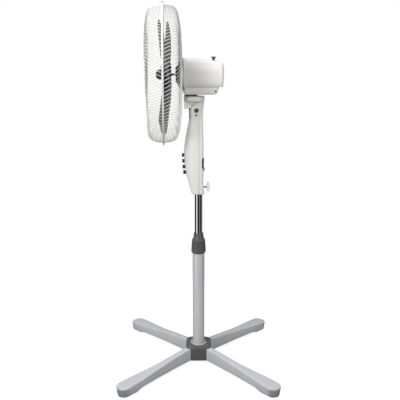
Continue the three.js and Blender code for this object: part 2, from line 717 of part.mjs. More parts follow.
function guardSolid(line, extra) {
  const wires = Array.from({ length: WIRES }, (_, step) => wireSolid(line, 2 * Math.PI * step / WIRES));
  return joined([...extra, torus(...line[line.length - 1]), ...wires]);
}

addPart(motor, 'front_guard', guardSolid(FRONT_LINE, [
  torus(60, -165, 2.4),
  torus(130, -165, 1.4),
]), wireWhite);
addPart(motor, 'rear_guard', guardSolid(REAR_LINE, [
  turnedAboutY(ringProfile(20.3, MOUNT_RADIUS, -57, -53.9), 0, 0, 24),
  torus(130, -56.6, 1.4),
]), wireWhite);
addPart(motor, 'rim_band', turnedAboutY(
  ringProfile(GUARD_RADIUS + 2.6, GUARD_RADIUS + 5, RIM_Y - 4, RIM_Y + 4), 0, 0, 40,
), wireWhite);
addPart(motor, 'rim_screw', turnedAboutX([
  [0, -9], [1.2, -9], [1.2, 7], [2.2, 7], [2.2, 9], [0, 9],
], RIM_Y, -GUARD_RADIUS - 7.6, 12), steel);
addPart(motor, 'top_clip', acrossX([
  [RIM_Y - 5, 218.4], [RIM_Y + 5, 218.4], [RIM_Y + 3.5, 221.6], [RIM_Y, 224], [RIM_Y - 3.5, 221.6],
], 7, 1), darkGrey);
addPart(motor, 'front_badge', turnedAboutY([
  [0, -171], [40, -170.6], [BADGE_RADIUS - 3, -169.6], [BADGE_RADIUS, -168],
  [BADGE_RADIUS, -167.7], [0, -167.7],
], 0, 0, 24), legGrey);
addPart(motor, 'guard_nut', turnedAboutY([
  [20.1, -72], [24, -72], [27, -68], [44, -61], [44, -57.3], [20.1, -57.3],
]), darkGrey);

// ---------------------------------------------------------------- fan
const BLADE_ANGLES = [27, 147, 267];
const BLADE_STATIONS = [
  // radius, angles from the blade's middle to its rear and front edges, y at those two edges
  [26, -38, 12, -90, -108],
  [45, -42, 16, -88, -113],
  [75, -45, 21, -86, -118],
  [105, -45, 27, -86, -121],
  [135, -43, 34, -88, -124],
  [164, -40, 38, -92, -126],
  [178, -35, 39, -95, -124],
  [BLADE_RADIUS, -24, 37, -101, -121],
];
const BLADE_HALF_THICKNESS = 1;
const BLADE_CAMBER = 4;

function bladeSolid(degrees) {
  const across = 6;
  const rings = BLADE_STATIONS.map(([radius, rearTurn, frontTurn, rear, front]) => {
    const face = (side) => Array.from({ length: across }, (_, step) => {
      const share = step / (across - 1);
      const angle = THREE.MathUtils.degToRad(degrees + rearTurn + (frontTurn - rearTurn) * share);
      const camber = BLADE_CAMBER * Math.sin(Math.PI * share);
      const y = rear + (front - rear) * share + camber + side * BLADE_HALF_THICKNESS;
      return new THREE.Vector3(radius * Math.cos(angle), y, radius * Math.sin(angle));
    });
    return [...face(-1), ...face(1).reverse()];
  });
  return lofted(rings);
}

function fanSolid() {
  const hub = turnedAboutY([
    [0, -113], [28, -113], [33, -110], [34, -104], [34, -86], [31, -86], [30, -106],
    [9, -106], [9, -86], [0, -86],
  ]);
  return cutBy(joined([hub, ...BLADE_ANGLES.map(bladeSolid)]), [
    turnedAboutY(rodProfile(SHAFT_RADIUS + GAP, -140, 0), 0, 0, SMALL_ROUND),
    block([-8.6, -88, -1.7], [8.6, -80, 1.7]),
  ]);
}

const rotor = addGroup(motor, 0, 0, 0);
addPart(rotor, 'fan_blade', fanSolid(), bladeGrey);
addPart(rotor, 'motor_shaft', turnedAboutY(rodProfile(SHAFT_RADIUS, -127, 38)).subtract(
  turnedAboutX(rodProfile(1.6, -10, 10), -86, 0, 12),
), steel);
addPart(rotor, 'drive_pin', turnedAboutX(rodProfile(1.3, -8, 8), -86, 0, 12), steel);
addPart(rotor, 'rotor_core', turnedAboutY(ringProfile(SHAFT_RADIUS + GAP, 20, -21, 9)), ironGrey);
addPart(rotor, 'spinner_nut', turnedAboutY([
  [SHAFT_RADIUS + GAP, -113.3], [16, -113.3], [16, -128], [13, -132], [6, -134], [0, -134.5], [0, -128.5],
  [SHAFT_RADIUS + GAP, -128.5],
], 0, 0, 16), darkGrey);

// ---------------------------------------------------------------- oscillation knob
addPart(fan, 'oscillation_knob', turnedAboutZ([
  [0, 1000], [5.5, 1000], [5.5, 1018], [6, 1021], [8, 1024], [8, 1026], [0, 1026],
], 0, KNOB_Y, 16), darkGrey);

export default fan;
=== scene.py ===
"""Looks for a pedestal fan, seen from its side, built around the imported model.

Metres, +Z up; the fan blows towards -Y.  Each section makes the fine surface of one group of
parts and says which CAD parts it stands for.
"""
import json
import math

import bpy
from mathutils import Matrix, Vector


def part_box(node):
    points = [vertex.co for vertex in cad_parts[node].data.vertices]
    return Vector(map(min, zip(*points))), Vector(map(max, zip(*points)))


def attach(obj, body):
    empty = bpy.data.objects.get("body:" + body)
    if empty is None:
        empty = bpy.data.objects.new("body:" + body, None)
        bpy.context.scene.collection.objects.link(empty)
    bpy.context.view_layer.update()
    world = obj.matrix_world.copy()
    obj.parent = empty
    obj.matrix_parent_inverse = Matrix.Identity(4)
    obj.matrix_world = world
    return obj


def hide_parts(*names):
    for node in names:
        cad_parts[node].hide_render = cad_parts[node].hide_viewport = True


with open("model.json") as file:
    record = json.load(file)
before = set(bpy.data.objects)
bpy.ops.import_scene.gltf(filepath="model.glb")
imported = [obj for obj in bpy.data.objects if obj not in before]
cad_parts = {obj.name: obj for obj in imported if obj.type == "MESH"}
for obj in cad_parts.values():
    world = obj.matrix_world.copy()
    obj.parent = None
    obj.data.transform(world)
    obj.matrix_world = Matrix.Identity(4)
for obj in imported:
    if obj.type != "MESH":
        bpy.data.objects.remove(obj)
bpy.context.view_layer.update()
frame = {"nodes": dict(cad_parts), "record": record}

MM = 0.001
TAU = 2 * math.pi


def box_of(node):
    """A CAD node's lowest and highest corners."""
    low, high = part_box(node)
    return Vector(low), Vector(high)


def middle_of(node):
    low, high = box_of(node)
    return (low + high) / 2


# ------------------------------------------------------------------ places taken from the frame
RIM_LOW, RIM_HIGH = box_of("rim_band")
AXIS_Z = (RIM_LOW.z + RIM_HIGH.z) / 2
RIM_Y = (RIM_LOW.y + RIM_HIGH.y) / 2
POLE_RADIUS = box_of("outer_tube")[1].x
HUB_LOW, HUB_HIGH = box_of("base_hub")
HUB_HALF = 42.5
BASE_TURN = math.radians(-3)        # the cross base stands this far round from the fan's axis
PIVOT = middle_of("tilt_screw")
KNOB = middle_of("oscillation_knob")


# ------------------------------------------------------------------ shader helpers
class Shader:
    """One material and its node tree."""

    def __init__(self, name, color, roughness, metallic=0.0):
        self.material = bpy.data.materials.new(name)
        self.material.use_nodes = True
        self.tree = self.material.node_tree
        self.surface = self.tree.nodes["Principled BSDF"]
        self.place = self.add("ShaderNodeTexCoord").outputs["Object"]
        self.color = color
        self.surface.inputs["Base Color"].default_value = (*color, 1)
        self.surface.inputs["Roughness"].default_value = roughness
        self.surface.inputs["Metallic"].default_value = metallic
        self.roughness = roughness

    def add(self, kind, **settings):
        node = self.tree.nodes.new(kind)
        for key, value in settings.items():
            setattr(node, key, value)
        return node

    def link(self, source, target):
        self.tree.links.new(source, target)

    def noise(self, scale, detail=3.0, stretch=(1, 1, 1)):
        """A noise value that doesn't depend on UVs; stretch is per axis."""
        mapping = self.add("ShaderNodeMapping")
        mapping.inputs["Scale"].default_value = stretch
        self.link(self.place, mapping.inputs["Vector"])
        noise = self.add("ShaderNodeTexNoise")
        noise.inputs["Scale"].default_value = scale
        noise.inputs["Detail"].default_value = detail
        self.link(mapping.outputs["Vector"], noise.inputs["Vector"])
        return noise.outputs["Fac"]

    def spread(self, value, low, high, start=0.3, end=0.7):
        """Maps start..end (by default a noise value's middle range) onto low..high."""
        node = self.add("ShaderNodeMapRange")
        node.inputs["From Min"].default_value = start
        node.inputs["From Max"].default_value = end
        node.inputs["To Min"].default_value = low
        node.inputs["To Max"].default_value = high
        self.link(value, node.inputs["Value"])
        return node.outputs["Result"]

    def mix(self, factor, first, second):
        """A colour between first and second; either may be a colour or a socket."""
        node = self.add("ShaderNodeMix", data_type="RGBA")
        colors = [socket for socket in node.inputs if socket.type == "RGBA"]
        for socket, value in zip(colors, (first, second)):
            if isinstance(value, bpy.types.NodeSocket):
                self.link(value, socket)
            else:
                socket.default_value = (*value, 1)
        self.link(factor, node.inputs["Factor"])
        return next(socket for socket in node.outputs if socket.type == "RGBA")

    def mottle(self, scale, amount, tint=(1.0, 1.0, 1.0), stretch=(1, 1, 1)):
        """Base colour that drifts between a slightly darker and a slightly lighter shade."""
        dark = [channel * (1 - amount) for channel in self.color]
        light = [min(1.0, channel * (1 + amount) * shade) for channel, shade in zip(self.color, tint)]
        factor = self.spread(self.noise(scale, stretch=stretch), 0, 1)
        color = self.mix(factor, dark, light)
        self.link(color, self.surface.inputs["Base Color"])
        return color

    def wander(self, scale, amount):
        """Roughness that varies a little, as on handled or moulded surfaces."""
        value = self.spread(self.noise(scale), self.roughness - amount, self.roughness + amount)
        self.link(value, self.surface.inputs["Roughness"])

    def grain(self, scale, strength, distance, stretch=(1, 1, 1)):
        bump = self.add("ShaderNodeBump")
        bump.inputs["Strength"].default_value = strength
        bump.inputs["Distance"].default_value = distance
        self.link(self.noise(scale, detail=2.0, stretch=stretch), bump.inputs["Height"])
        self.link(bump.outputs["Normal"], self.surface.inputs["Normal"])

    def worn_edges(self, base, worn, amount):
        """Edges a shade lighter, where hands and dust polish them."""
        geometry = self.add("ShaderNodeNewGeometry")
        range_node = self.add("ShaderNodeMapRange")
        range_node.inputs["From Min"].default_value = 0.53
        range_node.inputs["From Max"].default_value = 0.62
        range_node.inputs["To Max"].default_value = amount
        self.link(geometry.outputs["Pointiness"], range_node.inputs["Value"])
        self.link(self.mix(range_node.outputs["Result"], base, worn), self.surface.inputs["Base Color"])


    def feet_painted_shade(self, base, shade):
        """The base colour, with painted shade on the feet's end faces: low down, far from the pole."""
        split = self.add("ShaderNodeSeparateXYZ")
        flat = self.add("ShaderNodeCombineXYZ")
        reach = self.add("ShaderNodeVectorMath", operation="LENGTH")
        self.link(self.place, split.inputs["Vector"])
        self.link(split.outputs["X"], flat.inputs["X"])
        self.link(split.outputs["Y"], flat.inputs["Y"])
        self.link(flat.outputs["Vector"], reach.inputs[0])
        outer = self.spread(reach.outputs["Value"], 0, 1, *FOOT_PAINTED_SHADE_REACH)
        low = self.spread(split.outputs["Z"], 0, 1, *FOOT_PAINTED_SHADE_HEIGHT)
        painted_shade_mask = self.add("ShaderNodeMath", operation="MULTIPLY")
        self.link(outer, painted_shade_mask.inputs[0])
        self.link(low, painted_shade_mask.inputs[1])
        return self.mix(painted_shade_mask.outputs["Value"], base, shade)


def housing_look():
    look = Shader("housing_plastic", (0.79, 0.78, 0.755), 0.38)
    look.mottle(14, 0.012, tint=(1.0, 0.998, 0.99))
    look.wander(60, 0.05)
    look.grain(2600, 0.12, 0.00012)
    look.surface.inputs["Specular IOR Level"].default_value = 0.45
    return look.material


# Painted shade: a darker colour on the feet's end faces, standing in for the shade that falls there.
FOOT_PAINTED_SHADE = (0.21, 0.214, 0.222)
FOOT_PAINTED_SHADE_REACH = (0.318, 0.336)   # metres from the pole's axis over which the painted shade comes in
FOOT_PAINTED_SHADE_HEIGHT = (0.0305, 0.026)  # and heights


def leg_look():
    look = Shader("leg_plastic", (0.44, 0.445, 0.462), 0.42)
    base = look.mottle(18, 0.03, tint=(1.0, 1.0, 1.015))
    # the feet's end faces get painted shade, and the edges a lighter worn shade
    look.worn_edges(look.feet_painted_shade(base, FOOT_PAINTED_SHADE), (0.55, 0.555, 0.565), 0.5)
    look.wander(45, 0.06)
    look.grain(1500, 0.16, 0.00018)
    return look.material


def pole_look():
    look = Shader("pole_paint", (0.53, 0.53, 0.545), 0.36, 0.2)
    look.mottle(30, 0.025, stretch=(1, 1, 0.2))
    look.wander(80, 0.04)
    look.grain(1900, 0.1, 0.0001)
    look.surface.inputs["Coat Weight"].default_value = 0.25
    look.surface.inputs["Coat Roughness"].default_value = 0.2
    return look.material


def dark_look():
    look = Shader("dark_plastic", (0.072, 0.072, 0.068), 0.5)
    base = look.mottle(35, 0.09)
    look.worn_edges(base, (0.17, 0.17, 0.165), 0.7)
    look.wander(90, 0.07)
    look.grain(1700, 0.25, 0.0002)
    return look.material


def button_look():
    look = Shader("button_plastic", (0.018, 0.018, 0.018), 0.42)
    base = look.mottle(120, 0.2)
    look.worn_edges(base, (0.06, 0.06, 0.06), 0.6)
    look.wander(200, 0.08)
    look.grain(2400, 0.2, 0.0001)
    return look.material


def chrome_look():
    look = Shader("chrome", (0.86, 0.86, 0.87), 0.05, 1.0)
    look.mottle(25, 0.02, stretch=(1, 1, 0.3))
    look.wander(70, 0.02)
    look.grain(300, 0.03, 0.00005, stretch=(1, 1, 0.1))
    return look.material


def steel_look():
    look = Shader("zinc_steel", (0.50, 0.50, 0.51), 0.3, 1.0)
    look.mottle(160, 0.1, tint=(1.02, 1.0, 0.96))
    look.wander(220, 0.08)
    look.grain(1200, 0.2, 0.0001)
    return look.material


def rubber_look():
    look = Shader("foot_rubber", (0.16, 0.165, 0.175), 0.8)
    look.mottle(90, 0.1)
    look.wander(100, 0.06)
    look.grain(1400, 0.4, 0.0003)
    return look.material


def wire_look():
    look = Shader("wire_enamel", (0.76, 0.755, 0.74), 0.3)
    look.mottle(40, 0.02)
    look.wander(150, 0.05)
    look.grain(900, 0.08, 0.00008)
    return look.material


def blade_look():
    look = Shader("blade_plastic", (0.03, 0.03, 0.033), 0.25)
    look.mottle(22, 0.08)
    look.wander(30, 0.04)
    look.grain(700, 0.05, 0.0001)
    look.surface.inputs["Transmission Weight"].default_value = 0.12
    look.surface.inputs["IOR"].default_value = 1.49
    return look.material


def knob_look():
    look = Shader("knob_plastic", (0.80, 0.815, 0.81), 0.3)
    look.mottle(80, 0.02)
    look.wander(120, 0.06)
    look.grain(1500, 0.1, 0.0001)
    look.surface.inputs["Subsurface Weight"].default_value = 0.25
    look.surface.inputs["Subsurface Radius"].default_value = (0.006, 0.006, 0.006)
    return look.material


def iron_look():
    """Stacked laminations: fine bands along the motor's axis."""
    look = Shader("laminated_iron", (0.19, 0.17, 0.15), 0.5, 0.7)
    look.mottle(60, 0.25, tint=(1.2, 1.0, 0.85), stretch=(0.3, 9, 0.3))
    look.wander(80, 0.1)
    look.grain(400, 0.4, 0.0003, stretch=(0.05, 6, 0.05))
    return look.material


LOOKS = {
    "housing_plastic": housing_look(),
    "leg_plastic": leg_look(),
    "pole_paint": pole_look(),
    "dark_plastic": dark_look(),
    "button_plastic": button_look(),
    "chrome_tube": chrome_look(),
    "steel": steel_look(),
    "foot_rubber": rubber_look(),
    "wire_enamel": wire_look(),
    "blade_plastic": blade_look(),
    "knob_plastic": knob_look(),
    "iron": iron_look(),
    "screw_black": dark_look(),
    "capacitor_case": button_look(),
}


def dress_cad_nodes():
    """Every CAD part gets its slot's material; those that stay visible keep their CAD shape."""
    for subpart in frame["record"]["subparts"]:
        node = frame["nodes"][subpart["node"]]
        node.data.materials.clear()
        node.data.materials.append(LOOKS[subpart["material_slot"]])


# ------------------------------------------------------------------ mesh helpers
def make_piece(name, vertices, faces, body, slot, stands_for=(), sharp=32):
    """A new piece: smooth shaded, with edges over the sharp angle left crisp."""
    mesh = bpy.data.meshes.new(name)
    mesh.from_pydata([tuple(point) for point in vertices], [], faces)
    mesh.validate()
    mesh.polygons.foreach_set("use_smooth", [True] * len(mesh.polygons))
    mesh.set_sharp_from_angle(angle=math.radians(sharp))
    mesh.materials.append(LOOKS[slot])
    piece = bpy.data.objects.new(name, mesh)
    bpy.context.scene.collection.objects.link(piece)
    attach(piece, body)
    if stands_for:
        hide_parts(*stands_for)
    return piece


def face_outwards(piece):
    """Turns the mesh inside out if its faces point in."""
    mesh = piece.data
    volume = 0.0
    for polygon in mesh.polygons:
        corners = [mesh.vertices[index].co for index in polygon.vertices]
        for second, third in zip(corners[1:], corners[2:]):
            volume += corners[0].dot(second.cross(third))
    if volume < 0:
        mesh.flip_normals()
    return piece


def solid_piece(*settings, **options):
    """A new piece that is one closed body, with its faces pointing out."""
    return face_outwards(make_piece(*settings, **options))


def soften(piece, width, segments=3, angle=30):
    """Small rounds on a moulded piece's edges, with flat faces kept flat."""
    bevel = piece.modifiers.new("edge_rounds", "BEVEL")
    bevel.width = width
    bevel.segments = segments
    bevel.limit_method = "ANGLE"
    bevel.angle_limit = math.radians(angle)
    weighted = piece.modifiers.new("flat_faces", "WEIGHTED_NORMAL")
    weighted.keep_sharp = False
    for edge in piece.data.edges:
        edge.use_edge_sharp = False
    return piece


def rounded(points, radius, closed=False, steps=4):
    """A 2-D outline with its corners turned into small arcs."""
    points = [Vector(point) for point in points]
    count = len(points)
    result = []
    for index, corner in enumerate(points):
        if not closed and index in (0, count - 1):
            result.append(corner)
            continue
        before = points[index - 1] - corner
        after = points[(index + 1) % count] - corner
        turn = before.angle(after, math.pi)
        if turn > math.radians(172):
            result.append(corner)
            continue
        reach = min(radius / math.tan(turn / 2), before.length * 0.45, after.length * 0.45)
        start = corner + before.normalized() * reach
        end = corner + after.normalized() * reach
        for step in range(steps + 1):
            share = step / steps
            result.append(start * (1 - share) ** 2 + corner * 2 * share * (1 - share) + end * share ** 2)
    return result


def revolved(profile, sides=64):
    """Vertices and faces of a profile of (radius, height) spun about Z.

    A profile that starts and ends on the axis makes a solid; any other is closed into a ring.
    """
    vertices, faces, rows = [], [], []
    for radius, height in profile:
        if radius < 1e-7:
            rows.append([len(vertices)] * sides)
            vertices.append(Vector((0, 0, height)))
            continue
        rows.append(list(range(len(vertices), len(vertices) + sides)))
        for side in range(sides):
            turn = TAU * side / sides
            vertices.append(Vector((radius * math.cos(turn), radius * math.sin(turn), height)))
    ring = profile[0][0] > 1e-7 or profile[-1][0] > 1e-7
    pairs = list(zip(rows, rows[1:])) + ([(rows[-1], rows[0])] if ring else [])
    for lower, upper in pairs:
        for side in range(sides):
            after = (side + 1) % sides
            corners = [lower[side], lower[after], upper[after], upper[side]]
            unique = list(dict.fromkeys(corners))
            if len(unique) > 2:
                faces.append(unique)
    return vertices, faces


def lofted(rings, capped=True):
    """Vertices and faces of a skin through rings that have the same number of points."""
    count = len(rings[0])
    vertices = [point for ring in rings for point in ring]
    faces = []
    for row in range(len(rings) - 1):
        for side in range(count):
            after = (side + 1) % count
            start = row * count
            faces.append([start + side, start + after, start + count + after, start + count + side])
    if capped:
        faces.append(list(range(count))[::-1])
        faces.append(list(range(len(vertices) - count, len(vertices))))
    return vertices, faces


def swept(points, radius, sides=6):
    """A round wire through a row of points, closed at both ends."""
    rings = []
    side_way = None
    for index, point in enumerate(points):
        ahead = points[min(index + 1, len(points) - 1)] - points[max(index - 1, 0)]
        ahead.normalize()
        if side_way is None:
            side_way = ahead.orthogonal().normalized()
        side_way = (side_way - ahead * side_way.dot(ahead)).normalized()
        other_way = ahead.cross(side_way)
        rings.append([
            point + side_way * radius * math.cos(TAU * side / sides)
            + other_way * radius * math.sin(TAU * side / sides)
            for side in range(sides)
        ])
    return lofted(rings)


def merged(parts):
    """Several (vertices, faces) lists as one."""
    vertices, faces = [], []
    for part_vertices, part_faces in parts:
        start = len(vertices)
        vertices.extend(part_vertices)
        faces.extend([[start + index for index in face] for face in part_faces])
    return vertices, faces


def moved(part, matrix):
    vertices, faces = part
    return [matrix @ Vector(point) for point in vertices], faces


def turned_piece(name, profile, place, body, slot, stands_for=(), sides=64, round_edges=0.6, sharp=32):
    """A turned part: the profile in millimetres, its edges rounded, set by the matrix place."""
    outline = [(radius * MM, height * MM) for radius, height in profile]
    solid = profile[0][0] == 0
    outline = rounded(outline, round_edges * MM, closed=not solid)
    vertices, faces = moved(revolved(outline, sides), place)
    return solid_piece(name, vertices, faces, body, slot, stands_for, sharp)


def prism(outline, low, high):
    """An outline in the Y-Z plane given a width along X."""
    rings = [[Vector((x, y, z)) for y, z in outline] for x in (low, high)]
    return lofted(rings)


UPRIGHT = Matrix.Identity(4)


def along_y(x, z):
    """Turns a profile's axis from Z to Y, so that its heights become Y."""
    return Matrix.Translation((x, 0, z)) @ Matrix.Rotation(-math.pi / 2, 4, "X")


def along_x(y, z):
    return Matrix.Translation((0, y, z)) @ Matrix.Rotation(math.pi / 2, 4, "Y")


def straight(table, at):
    """Linear value between the rows (at, value) of a short table."""
    for (start, first), (end, second) in zip(table, table[1:]):
        if at <= end:
            return first + (second - first) * max(0.0, (at - start) / (end - start))
    return table[-1][1]


# ------------------------------------------------------------------ guard
WIRES = 120                         # in each half
WIRE_RADIUS = 0.8 * MM
SWAY = math.radians(24)             # how far a wire swings round on its way in from the rim
FRONT_LINE = [
    (213, -113.6), (212.2, -124), (209.5, -138), (206, -147.5), (200, -155), (191, -160),
    (173, -164), (150, -166), (120, -167), (90, -167.2), (60, -167),
]
REAR_LINE = [
    (213, -110.4), (212.2, -98), (209.5, -84), (206, -76.5), (200, -70.5), (191, -66),
    (173, -61), (145, -57), (118, -55), (90, -54.2), (67, -54.5),
]


def round_axis(radius, angle, y):
    """A point at a radius and an angle about the fan's axis."""
    return Vector((radius * MM * math.cos(angle), y * MM, AXIS_Z + radius * MM * math.sin(angle)))


def wire_points(line, start_angle, sway, steps=2):
    """A guard wire's middle line, from the rim inwards, swinging round as it goes."""
    run = [0.0]
    for (radius, y), (next_radius, next_y) in zip(line, line[1:]):
        run.append(run[-1] + math.hypot(next_radius - radius, next_y - y))
    points = []
    for index, (radius, y) in enumerate(line):
        angle = start_angle + sway * run[index] / run[-1]
        points.append(round_axis(radius, angle, y))
    fine = []
    last = len(points) - 1
    for index in range(last):
        before = points[max(index - 1, 0)]
        after = points[min(index + 2, last)]
        first, second = points[index], points[index + 1]
        for step in range(steps):
            t = step / steps
            fine.append(0.5 * (
                2 * first + (second - before) * t
                + (2 * before - 5 * first + 4 * second - after) * t * t
                + (3 * first - before - 3 * second + after) * t ** 3
            ))
    fine.append(points[last])
    return fine


def hoop(radius, y, thickness, sides=128):
    """A round wire ring about the fan's axis."""
    turns = [TAU * step / 10 for step in range(10)]
    profile = [
        (radius * MM + thickness * math.cos(turn), y * MM + thickness * math.sin(turn)) for turn in turns
    ]
    return moved(revolved(profile, sides), along_y(0, AXIS_Z))


def make_guard(name, line, extra):
    wires = [
        swept(wire_points(line, TAU * index / WIRES, SWAY), WIRE_RADIUS, sides=6)
        for index in range(WIRES)
    ]
    vertices, faces = merged(wires + extra)
    return make_piece(f"{name}_wires", vertices, faces, "head", "wire_enamel", (name,), sharp=60)


def make_guards():
    make_guard("front_guard", FRONT_LINE, [
        hoop(213, -113.6, 1.4 * MM),
        hoop(140, -165.0, 1.2 * MM),
        hoop(61, -165.6, 1.9 * MM, 96),
    ])
    make_guard("rear_guard", REAR_LINE, [
        hoop(213, -110.4, 1.4 * MM),
        hoop(140, -58.6, 1.2 * MM),
    ])
    turned_piece("rear_guard_mount", [
        (20.3, -57), (60, -57), (64, -56), (70, -56), (70, -53.2), (64, -53.2), (60, -53.9), (20.3, -53.9),
    ], along_y(0, AXIS_Z), "head", "wire_enamel", sides=96)
    turned_piece("rim_band_channel", [
        (215.4, -114.8), (218, -114.4), (218, -109.6), (215.4, -109.2), (215.4, -110.2), (216.8, -110.6),
        (216.8, -113.4), (215.4, -113.8),
    ], along_y(0, AXIS_Z), "head", "wire_enamel", ("rim_band",), sides=192, round_edges=0.5)
    turned_piece("front_badge_disc", [
        (0, -171), (30, -170.8), (48, -170.2), (50, -169.6), (52, -170.0), (61, -169.4), (64, -168),
        (64, -167.7), (0, -167.7),
    ], along_y(0, AXIS_Z), "head", "leg_plastic", ("front_badge",), sides=96, round_edges=0.8)


def make_guard_nut():
    """The ring nut that holds the rear guard, with finger ribs round its skirt."""
    ribs = 24
    rings = []
    for radius, y, depth in [
        (20.4, -72, 0), (22.6, -72.3, 0), (24, -71.2, 0), (27, -68, 0.4), (32, -65.4, 1.2),
        (43, -61, 1.6), (44.6, -59.6, 0.8), (44.6, -57.3, 0), (20.4, -57.3, 0),
    ]:
        rings.append([
            Vector((
                (radius - depth * (0.5 + 0.5 * math.cos(ribs * turn))) * MM * math.cos(turn),
                y * MM,
                AXIS_Z + (radius - depth * (0.5 + 0.5 * math.cos(ribs * turn))) * MM * math.sin(turn),
            ))
            for turn in (TAU * step / (ribs * 6) for step in range(ribs * 6))
        ])
    rings.append(rings[0])
    vertices, faces = lofted(rings, capped=False)
    count = len(rings[0])
    last = len(vertices) - count
    faces = [[index - last if index >= last else index for index in face] for face in faces]
    solid_piece("guard_nut_ribbed", vertices[:last], faces, "head", "dark_plastic", ("guard_nut",))


# ------------------------------------------------------------------ fan
BLADE_ANGLES = (27, 147, 267)
BLADE_ROOT = 26
BLADE_TIP = 187
# radius against the angle from the blade's middle, and against y, at the two long edges
REAR_TURN = [
    (26, -38), (45, -42), (75, -45), (105, -45), (135, -43), (164, -40), (178, -35), (183, -31),
    (186.2, -23), (187, -13),
]
FRONT_TURN = [
    (26, 12), (45, 16), (75, 21), (105, 27), (135, 34), (164, 38), (178, 39), (183, 38),
    (186.2, 34), (187, 26),
]
REAR_Y = [(26, -90), (45, -88), (75, -86), (105, -86), (135, -88), (164, -92), (178, -95), (187, -101)]
FRONT_Y = [
    (26, -108), (45, -113), (75, -118), (105, -121), (135, -124), (164, -126), (178, -124), (187, -120),
]
CAMBER = 4


def blade_part(degrees):
    """A thin cambered blade with a swept front edge and a round tip, thinner towards its edges."""
    across, along = 24, 34
    rings = []
    for row in range(along + 1):
        radius = BLADE_ROOT + (BLADE_TIP - BLADE_ROOT) * (1 - (1 - row / along) ** 2)
        rear_turn, front_turn = straight(REAR_TURN, radius), straight(FRONT_TURN, radius)
        rear_y, front_y = straight(REAR_Y, radius), straight(FRONT_Y, radius)
        sides = []
        for side in (-1, 1):
            line = []
            for step in range(across + 1):
                share = step / across
                angle = math.radians(degrees + rear_turn + (front_turn - rear_turn) * share)
                arch = math.sin(math.pi * share)
                y = rear_y + (front_y - rear_y) * share + CAMBER * arch + side * (0.35 + 0.75 * arch)
                line.append(round_axis(radius, angle, y))
            sides.append(line)
        rings.append(sides[0] + sides[1][::-1])
    return lofted(rings)


def make_fan():
    hub = moved(revolved([
        (radius * MM, y * MM) for radius, y in [
            (4.4, -113), (24, -113), (30, -112), (33, -109.5), (34, -106), (34, -86), (31.6, -86),
            (31, -105), (9, -106), (9, -86), (4.4, -86),
        ]
    ], 72), along_y(0, AXIS_Z))
    vertices, faces = merged([hub, *[blade_part(degrees) for degrees in BLADE_ANGLES]])
    make_piece("fan_blades", vertices, faces, "rotor", "blade_plastic", ("fan_blade",), sharp=50)
    turned_piece("spinner_nut_domed", [
        (0, -134.5), (6, -134), (12, -131.5), (15.4, -127), (16, -122), (16, -116), (17.5, -115),
        (17.5, -113.3), (0, -113.3),
    ], along_y(0, AXIS_Z), "rotor", "dark_plastic", ("spinner_nut",), sides=48, round_edges=1.0)
    turned_piece("motor_shaft_round", [(0, -127), (4, -127), (4, 38), (0, 38)],
                 along_y(0, AXIS_Z), "rotor", "steel", ("motor_shaft",), sides=32, round_edges=0.8)


# ------------------------------------------------------------------ motor head
HOUSING_TOP = [(-49, 1024), (-37, 1020.5), (0, 1018.5), (37, 1016), (60, 1012), (78, 1007)]
HOUSING_REAR_Y = 77.5
HOUSING_BOTTOM = 933
HOUSING_HALF = 52
HOUSING_END_ROUND = 11


def housing_section(half, bottom, top, shoulder, tuck, points=9):
    """Right half of the housing's cross-section, from the middle of its floor to its crown."""
    outline = [(0, bottom), (half - tuck, bottom)]
    belly = bottom + 0.27 * (top - bottom)
    for step in range(1, points):
        turn = math.pi / 2 * step / points
        outline.append((half - tuck + tuck * math.sin(turn), belly - (belly - bottom) * math.cos(turn)))
    outline.append((half, belly))
    spring = top - shoulder
    for step in range(points + 4):
        turn = math.pi / 2 * step / (points + 4)
        outline.append((half * math.cos(turn) ** 0.72, spring + shoulder * math.sin(turn) ** 0.9))
    outline.append((0, top))
    return outline


def whole_ring(half_outline, y, lean=0.0, level=0.0):
    right = [(x, z) for x, z in half_outline]
    left = [(-x, z) for x, z in half_outline[-2:0:-1]]
    return [Vector((x * MM, (y + lean * (z - level)) * MM, z * MM)) for x, z in right + left]


def make_motor_housing():
    rings = []
    straight_run = [-49, -48.6, -47, -40, -37.6, -37.2, -36.8, -36.4, -30, -15, 0, 15, 30, 45, 58]
    for y in straight_run:
        inset = {-49: 1.2, -48.6: 0.5, -37.2: 0.5, -36.8: 0.5}.get(y, 0)
        top = straight(HOUSING_TOP, y) - inset
        rings.append(whole_ring(housing_section(HOUSING_HALF - inset, HOUSING_BOTTOM, top, 44, 7), y))
    for step in range(0, 10):
        turn = math.pi / 2 * step / 9
        inset = HOUSING_END_ROUND * (1 - math.cos(turn))
        y = HOUSING_REAR_Y - HOUSING_END_ROUND + HOUSING_END_ROUND * math.sin(turn)
        top = straight(HOUSING_TOP, y) - inset
        half, bottom = HOUSING_HALF - inset, HOUSING_BOTTOM + 0.15 * inset
        section = housing_section(half, bottom, top, 44 - 0.4 * inset, 7)
        rings.append(whole_ring(section, y, lean=0.055 * step / 9, level=985))
    vertices, faces = lofted(rings)
    solid_piece("motor_housing_shell", vertices, faces, "head", "housing_plastic",
                ("motor_housing",), sharp=40)


